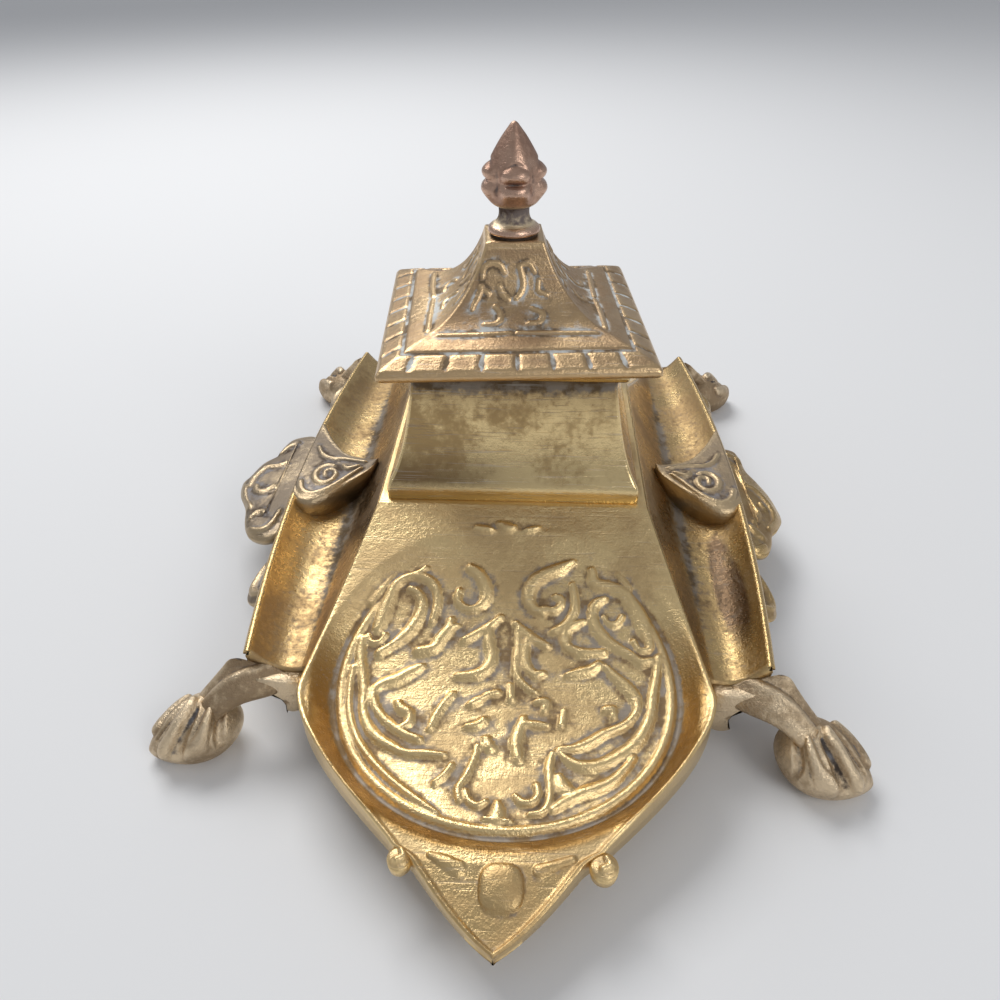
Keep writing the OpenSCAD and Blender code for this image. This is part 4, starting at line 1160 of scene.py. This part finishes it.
# %% The metal shader
def old_metal(name, bare, dull, dirt, residue, stain_and_shade, tarnish=0.5, left=0.5, depth=0.3,
              shine=0.2, worn=0.45, pits=0.0002, scratches=0.4):
    """Material of one casting. Five colours and three amounts go to the shared skin; shine and
    worn are the roughness of bare and of tarnished metal, and pits is a depth in metres."""
    material = bpy.data.materials.new(name)
    material.use_nodes = True
    tree = material.node_tree
    shader = tree.nodes["Principled BSDF"]
    group = add_node(tree, "Group", node_tree=cast_skin)
    for key, value in (("Bare", bare), ("Dull", dull), ("Dirt", dirt), ("Residue", residue),
                       ("Stain and shade", stain_and_shade)):
        group.inputs[key].default_value = (*value, 1)
    for key, value in (("Tarnish", tarnish), ("Polish left", left), ("Depth", depth)):
        group.inputs[key].default_value = value
    marks = add_node(tree, "Group", node_tree=hand_scratches)
    marks.inputs["Amount"].default_value = scratches
    hollow, age = group.outputs["Hollow"], group.outputs["Age"]
    rough = fit(tree, age, 0.0, 1.0, shine, worn)
    rough = maths(tree, "MULTIPLY_ADD", marks.outputs["Mask"], 0.22, rough)
    rough = maths(tree, "MULTIPLY_ADD", hollow, 0.35, rough)
    metallic = maths(tree, "MULTIPLY_ADD", hollow, -0.5, 1.0)
    pale_lines = maths(tree, "MULTIPLY", marks.outputs["Mask"], 0.4)
    colour = blend(tree, pale_lines, group.outputs["Color"], (*residue, 1))
    raised = maths(tree, "MULTIPLY_ADD", marks.outputs["Mask"], -0.3, group.outputs["Height"])
    bump = add_node(tree, "Bump", {"Height": raised, "Distance": pits, "Strength": 1.0})
    for key, value in (("Base Color", colour), ("Roughness", rough),
                       ("Metallic", metallic), ("Normal", bump.outputs["Normal"])):
        tree.links.new(value, shader.inputs[key])
    return material


print("the metal shader joins", cast_skin.name, "and", hand_scratches.name)

# %% [markdown]
# ## One material for each kind of casting
#
# The polished well is the brightest. The dish keeps pale dried polish in its ground. The legs
# are close to how they left the mould. The finial is browner, since it is handled most, and
# its stain is a lighter metal round the neck.

# %% The metal finishes
DRY = (0.5, 0.48, 0.45)
finishes = {
    # The tray's stain-and-shade colour lays the painted shade on the slope round its dish and a lighter
    # darkening on its tip plate.
    "tray": old_metal("tray_old_brass", (0.86, 0.64, 0.32), (0.62, 0.45, 0.23), (0.3, 0.2, 0.1),
                      (0.52, 0.5, 0.47), (0.36, 0.21, 0.07), 0.48, 0.5, 0.42, 0.29, 0.5, 0.00025, 0.4),
    # The stand's colours are darkened as a painted dark reflection: they stand in for the dark
    # surroundings that its polished slopes mirror.
    "stand": old_metal("stand_brass", (0.6, 0.42, 0.19), (0.4, 0.27, 0.13), (0.12, 0.08, 0.04),
                       DRY, (0.2, 0.13, 0.075), 0.5, 0.3, 0.5, 0.27, 0.5, 0.0002, 0.4),
    "saddle": old_metal("saddle_grey_brass", (0.66, 0.5, 0.3), (0.4, 0.31, 0.21),
                        (0.14, 0.1, 0.07), (0.44, 0.42, 0.42), (0.17, 0.14, 0.11),
                        0.6, 0.75, 0.3, 0.34, 0.55, 0.0003, 0.3),
    # The housing's stain-and-shade colour lays real stains low on the left and painted shade at the top
    # of its walls.
    "housing": old_metal("polished_brass", (0.88, 0.67, 0.34), (0.46, 0.32, 0.15), (0.12, 0.08, 0.04),
                         DRY, (0.24, 0.15, 0.07), 0.46, 0.3, 0.5, 0.17, 0.36, 0.0001, 1.0),
    # The lid's stain-and-shade colour is the painted shade on its faces.
    "lid": old_metal("lid_worn_brass", (0.76, 0.54, 0.29), (0.46, 0.32, 0.18), (0.2, 0.14, 0.08),
                     (0.62, 0.63, 0.61), (0.34, 0.22, 0.13), 0.5, 0.95, 0.15, 0.3, 0.48, 0.0002, 0.4),
    "foot": old_metal("foot_rough_brass", (0.76, 0.6, 0.4), (0.36, 0.26, 0.16), (0.08, 0.06, 0.045),
                      (0.36, 0.38, 0.42), (0.15, 0.1, 0.07), 0.55, 0.4, 0.4, 0.3, 0.58, 0.0005, 0.2),
    "finial": old_metal("finial_brown_brass", (0.62, 0.41, 0.3), (0.36, 0.22, 0.16),
                        (0.09, 0.055, 0.04), (0.45, 0.4, 0.38), (0.85, 0.7, 0.48), 0.55, 0.35, 0.35,
                        0.27, 0.45, 0.0002, 0.3),
    "screw": old_metal("screw_dull_brass", (0.6, 0.45, 0.25), (0.34, 0.25, 0.15), (0.1, 0.07, 0.05),
                       DRY, (0.2, 0.13, 0.07), 0.5, 0.2, 0.5, 0.3, 0.5, 0.0001, 0.4),
}
print(len(finishes), "metal finishes")

# %% [markdown]
# ## Glass, felt and leather
#
# The liner, its pad and the washer are seen only when the lid is open or from close by. Felt
# and leather are a mottled colour with a fine nap, and the pressed glass is a little wavy.

# %% Glass, felt and leather
def soft_stuff(name, colour, dark, scale, roughness, pits):
    """Felt or leather: a mottled colour with a fine nap."""
    material = bpy.data.materials.new(name)
    material.use_nodes = True
    tree = material.node_tree
    place = add_node(tree, "TexCoord").outputs["Object"]
    nap = noise(tree, place, scale, 6.0, 0.7)
    mottle = blend(tree, fit(tree, nap, 0.35, 0.65), (*dark, 1), (*colour, 1))
    bump = add_node(tree, "Bump", {"Height": nap, "Distance": pits})
    shader = tree.nodes["Principled BSDF"]
    shader.inputs["Roughness"].default_value = roughness
    tree.links.new(mottle, shader.inputs["Base Color"])
    tree.links.new(bump.outputs["Normal"], shader.inputs["Normal"])
    return material


def liner_glass(name):
    """Clear, faintly green pressed glass with a little waviness."""
    material = bpy.data.materials.new(name)
    material.use_nodes = True
    tree = material.node_tree
    shader = tree.nodes["Principled BSDF"]
    shader.inputs["Transmission Weight"].default_value = 1.0
    shader.inputs["Metallic"].default_value = 0.0
    shader.inputs["IOR"].default_value = 1.5
    place = add_node(tree, "TexCoord").outputs["Object"]
    wave = noise(tree, place, 120.0, 2.0)
    tint = blend(tree, wave, (0.86, 0.93, 0.9, 1), (0.93, 0.97, 0.95, 1))
    rough = fit(tree, noise(tree, place, 500.0, 3.0), 0.3, 0.7, 0.03, 0.12)
    bump = add_node(tree, "Bump", {"Height": wave, "Distance": 0.0003})
    tree.links.new(tint, shader.inputs["Base Color"])
    tree.links.new(rough, shader.inputs["Roughness"])
    tree.links.new(bump.outputs["Normal"], shader.inputs["Normal"])
    return material


finishes["pad"] = soft_stuff("pad_felt", (0.07, 0.16, 0.1), (0.03, 0.08, 0.05), 1500.0, 0.95, 0.0003)
finishes["washer"] = soft_stuff("washer_leather", (0.07, 0.045, 0.03), (0.03, 0.02, 0.015),
                                900.0, 0.7, 0.0002)
finishes["glass"] = liner_glass("liner_glass")
print("finishes now include", sorted(finishes))

# %% [markdown]
# ## Giving out the finishes
#
# A piece of this lesson takes the finish of its slot. The saddles, the left bracket and the
# left leaves are greyer than the rest of the stand, so they are named. The plain parts of the
# frame that stay visible, such as screws and glass, are named too.

# %% Giving out the finishes
SLOT_FINISH = {"tray_brass": "tray", "stand_brass": "stand", "housing_brass": "housing",
               "lid_brass": "lid", "foot_brass": "foot", "finial_brass": "finial"}
NODE_FINISH = {"foot_screws": "screw", "wing_screws": "screw", "apron_screws": "screw",
               "housing_screws": "screw", "hinge_pin": "screw", "finial_nut": "screw",
               "liner_pad": "pad", "ink_liner": "glass", "finial_washer": "washer",
               "left_saddle": "saddle", "right_saddle": "saddle", "left_scroll": "saddle",
               "left_front_leaf": "saddle", "left_rear_leaf": "saddle"}
for piece in [o for o in bpy.data.objects if o.type == "MESH"]:
    if piece.name in NODE_FINISH:
        kind = NODE_FINISH[piece.name]
    elif "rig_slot" in piece and piece.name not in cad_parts:
        kind = SLOT_FINISH[piece["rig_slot"]]
    else:
        continue
    piece.data.materials.clear()
    piece.data.materials.append(finishes[kind])
print("finishes given to", sum(1 for m in bpy.data.materials if m.users), "materials in use")
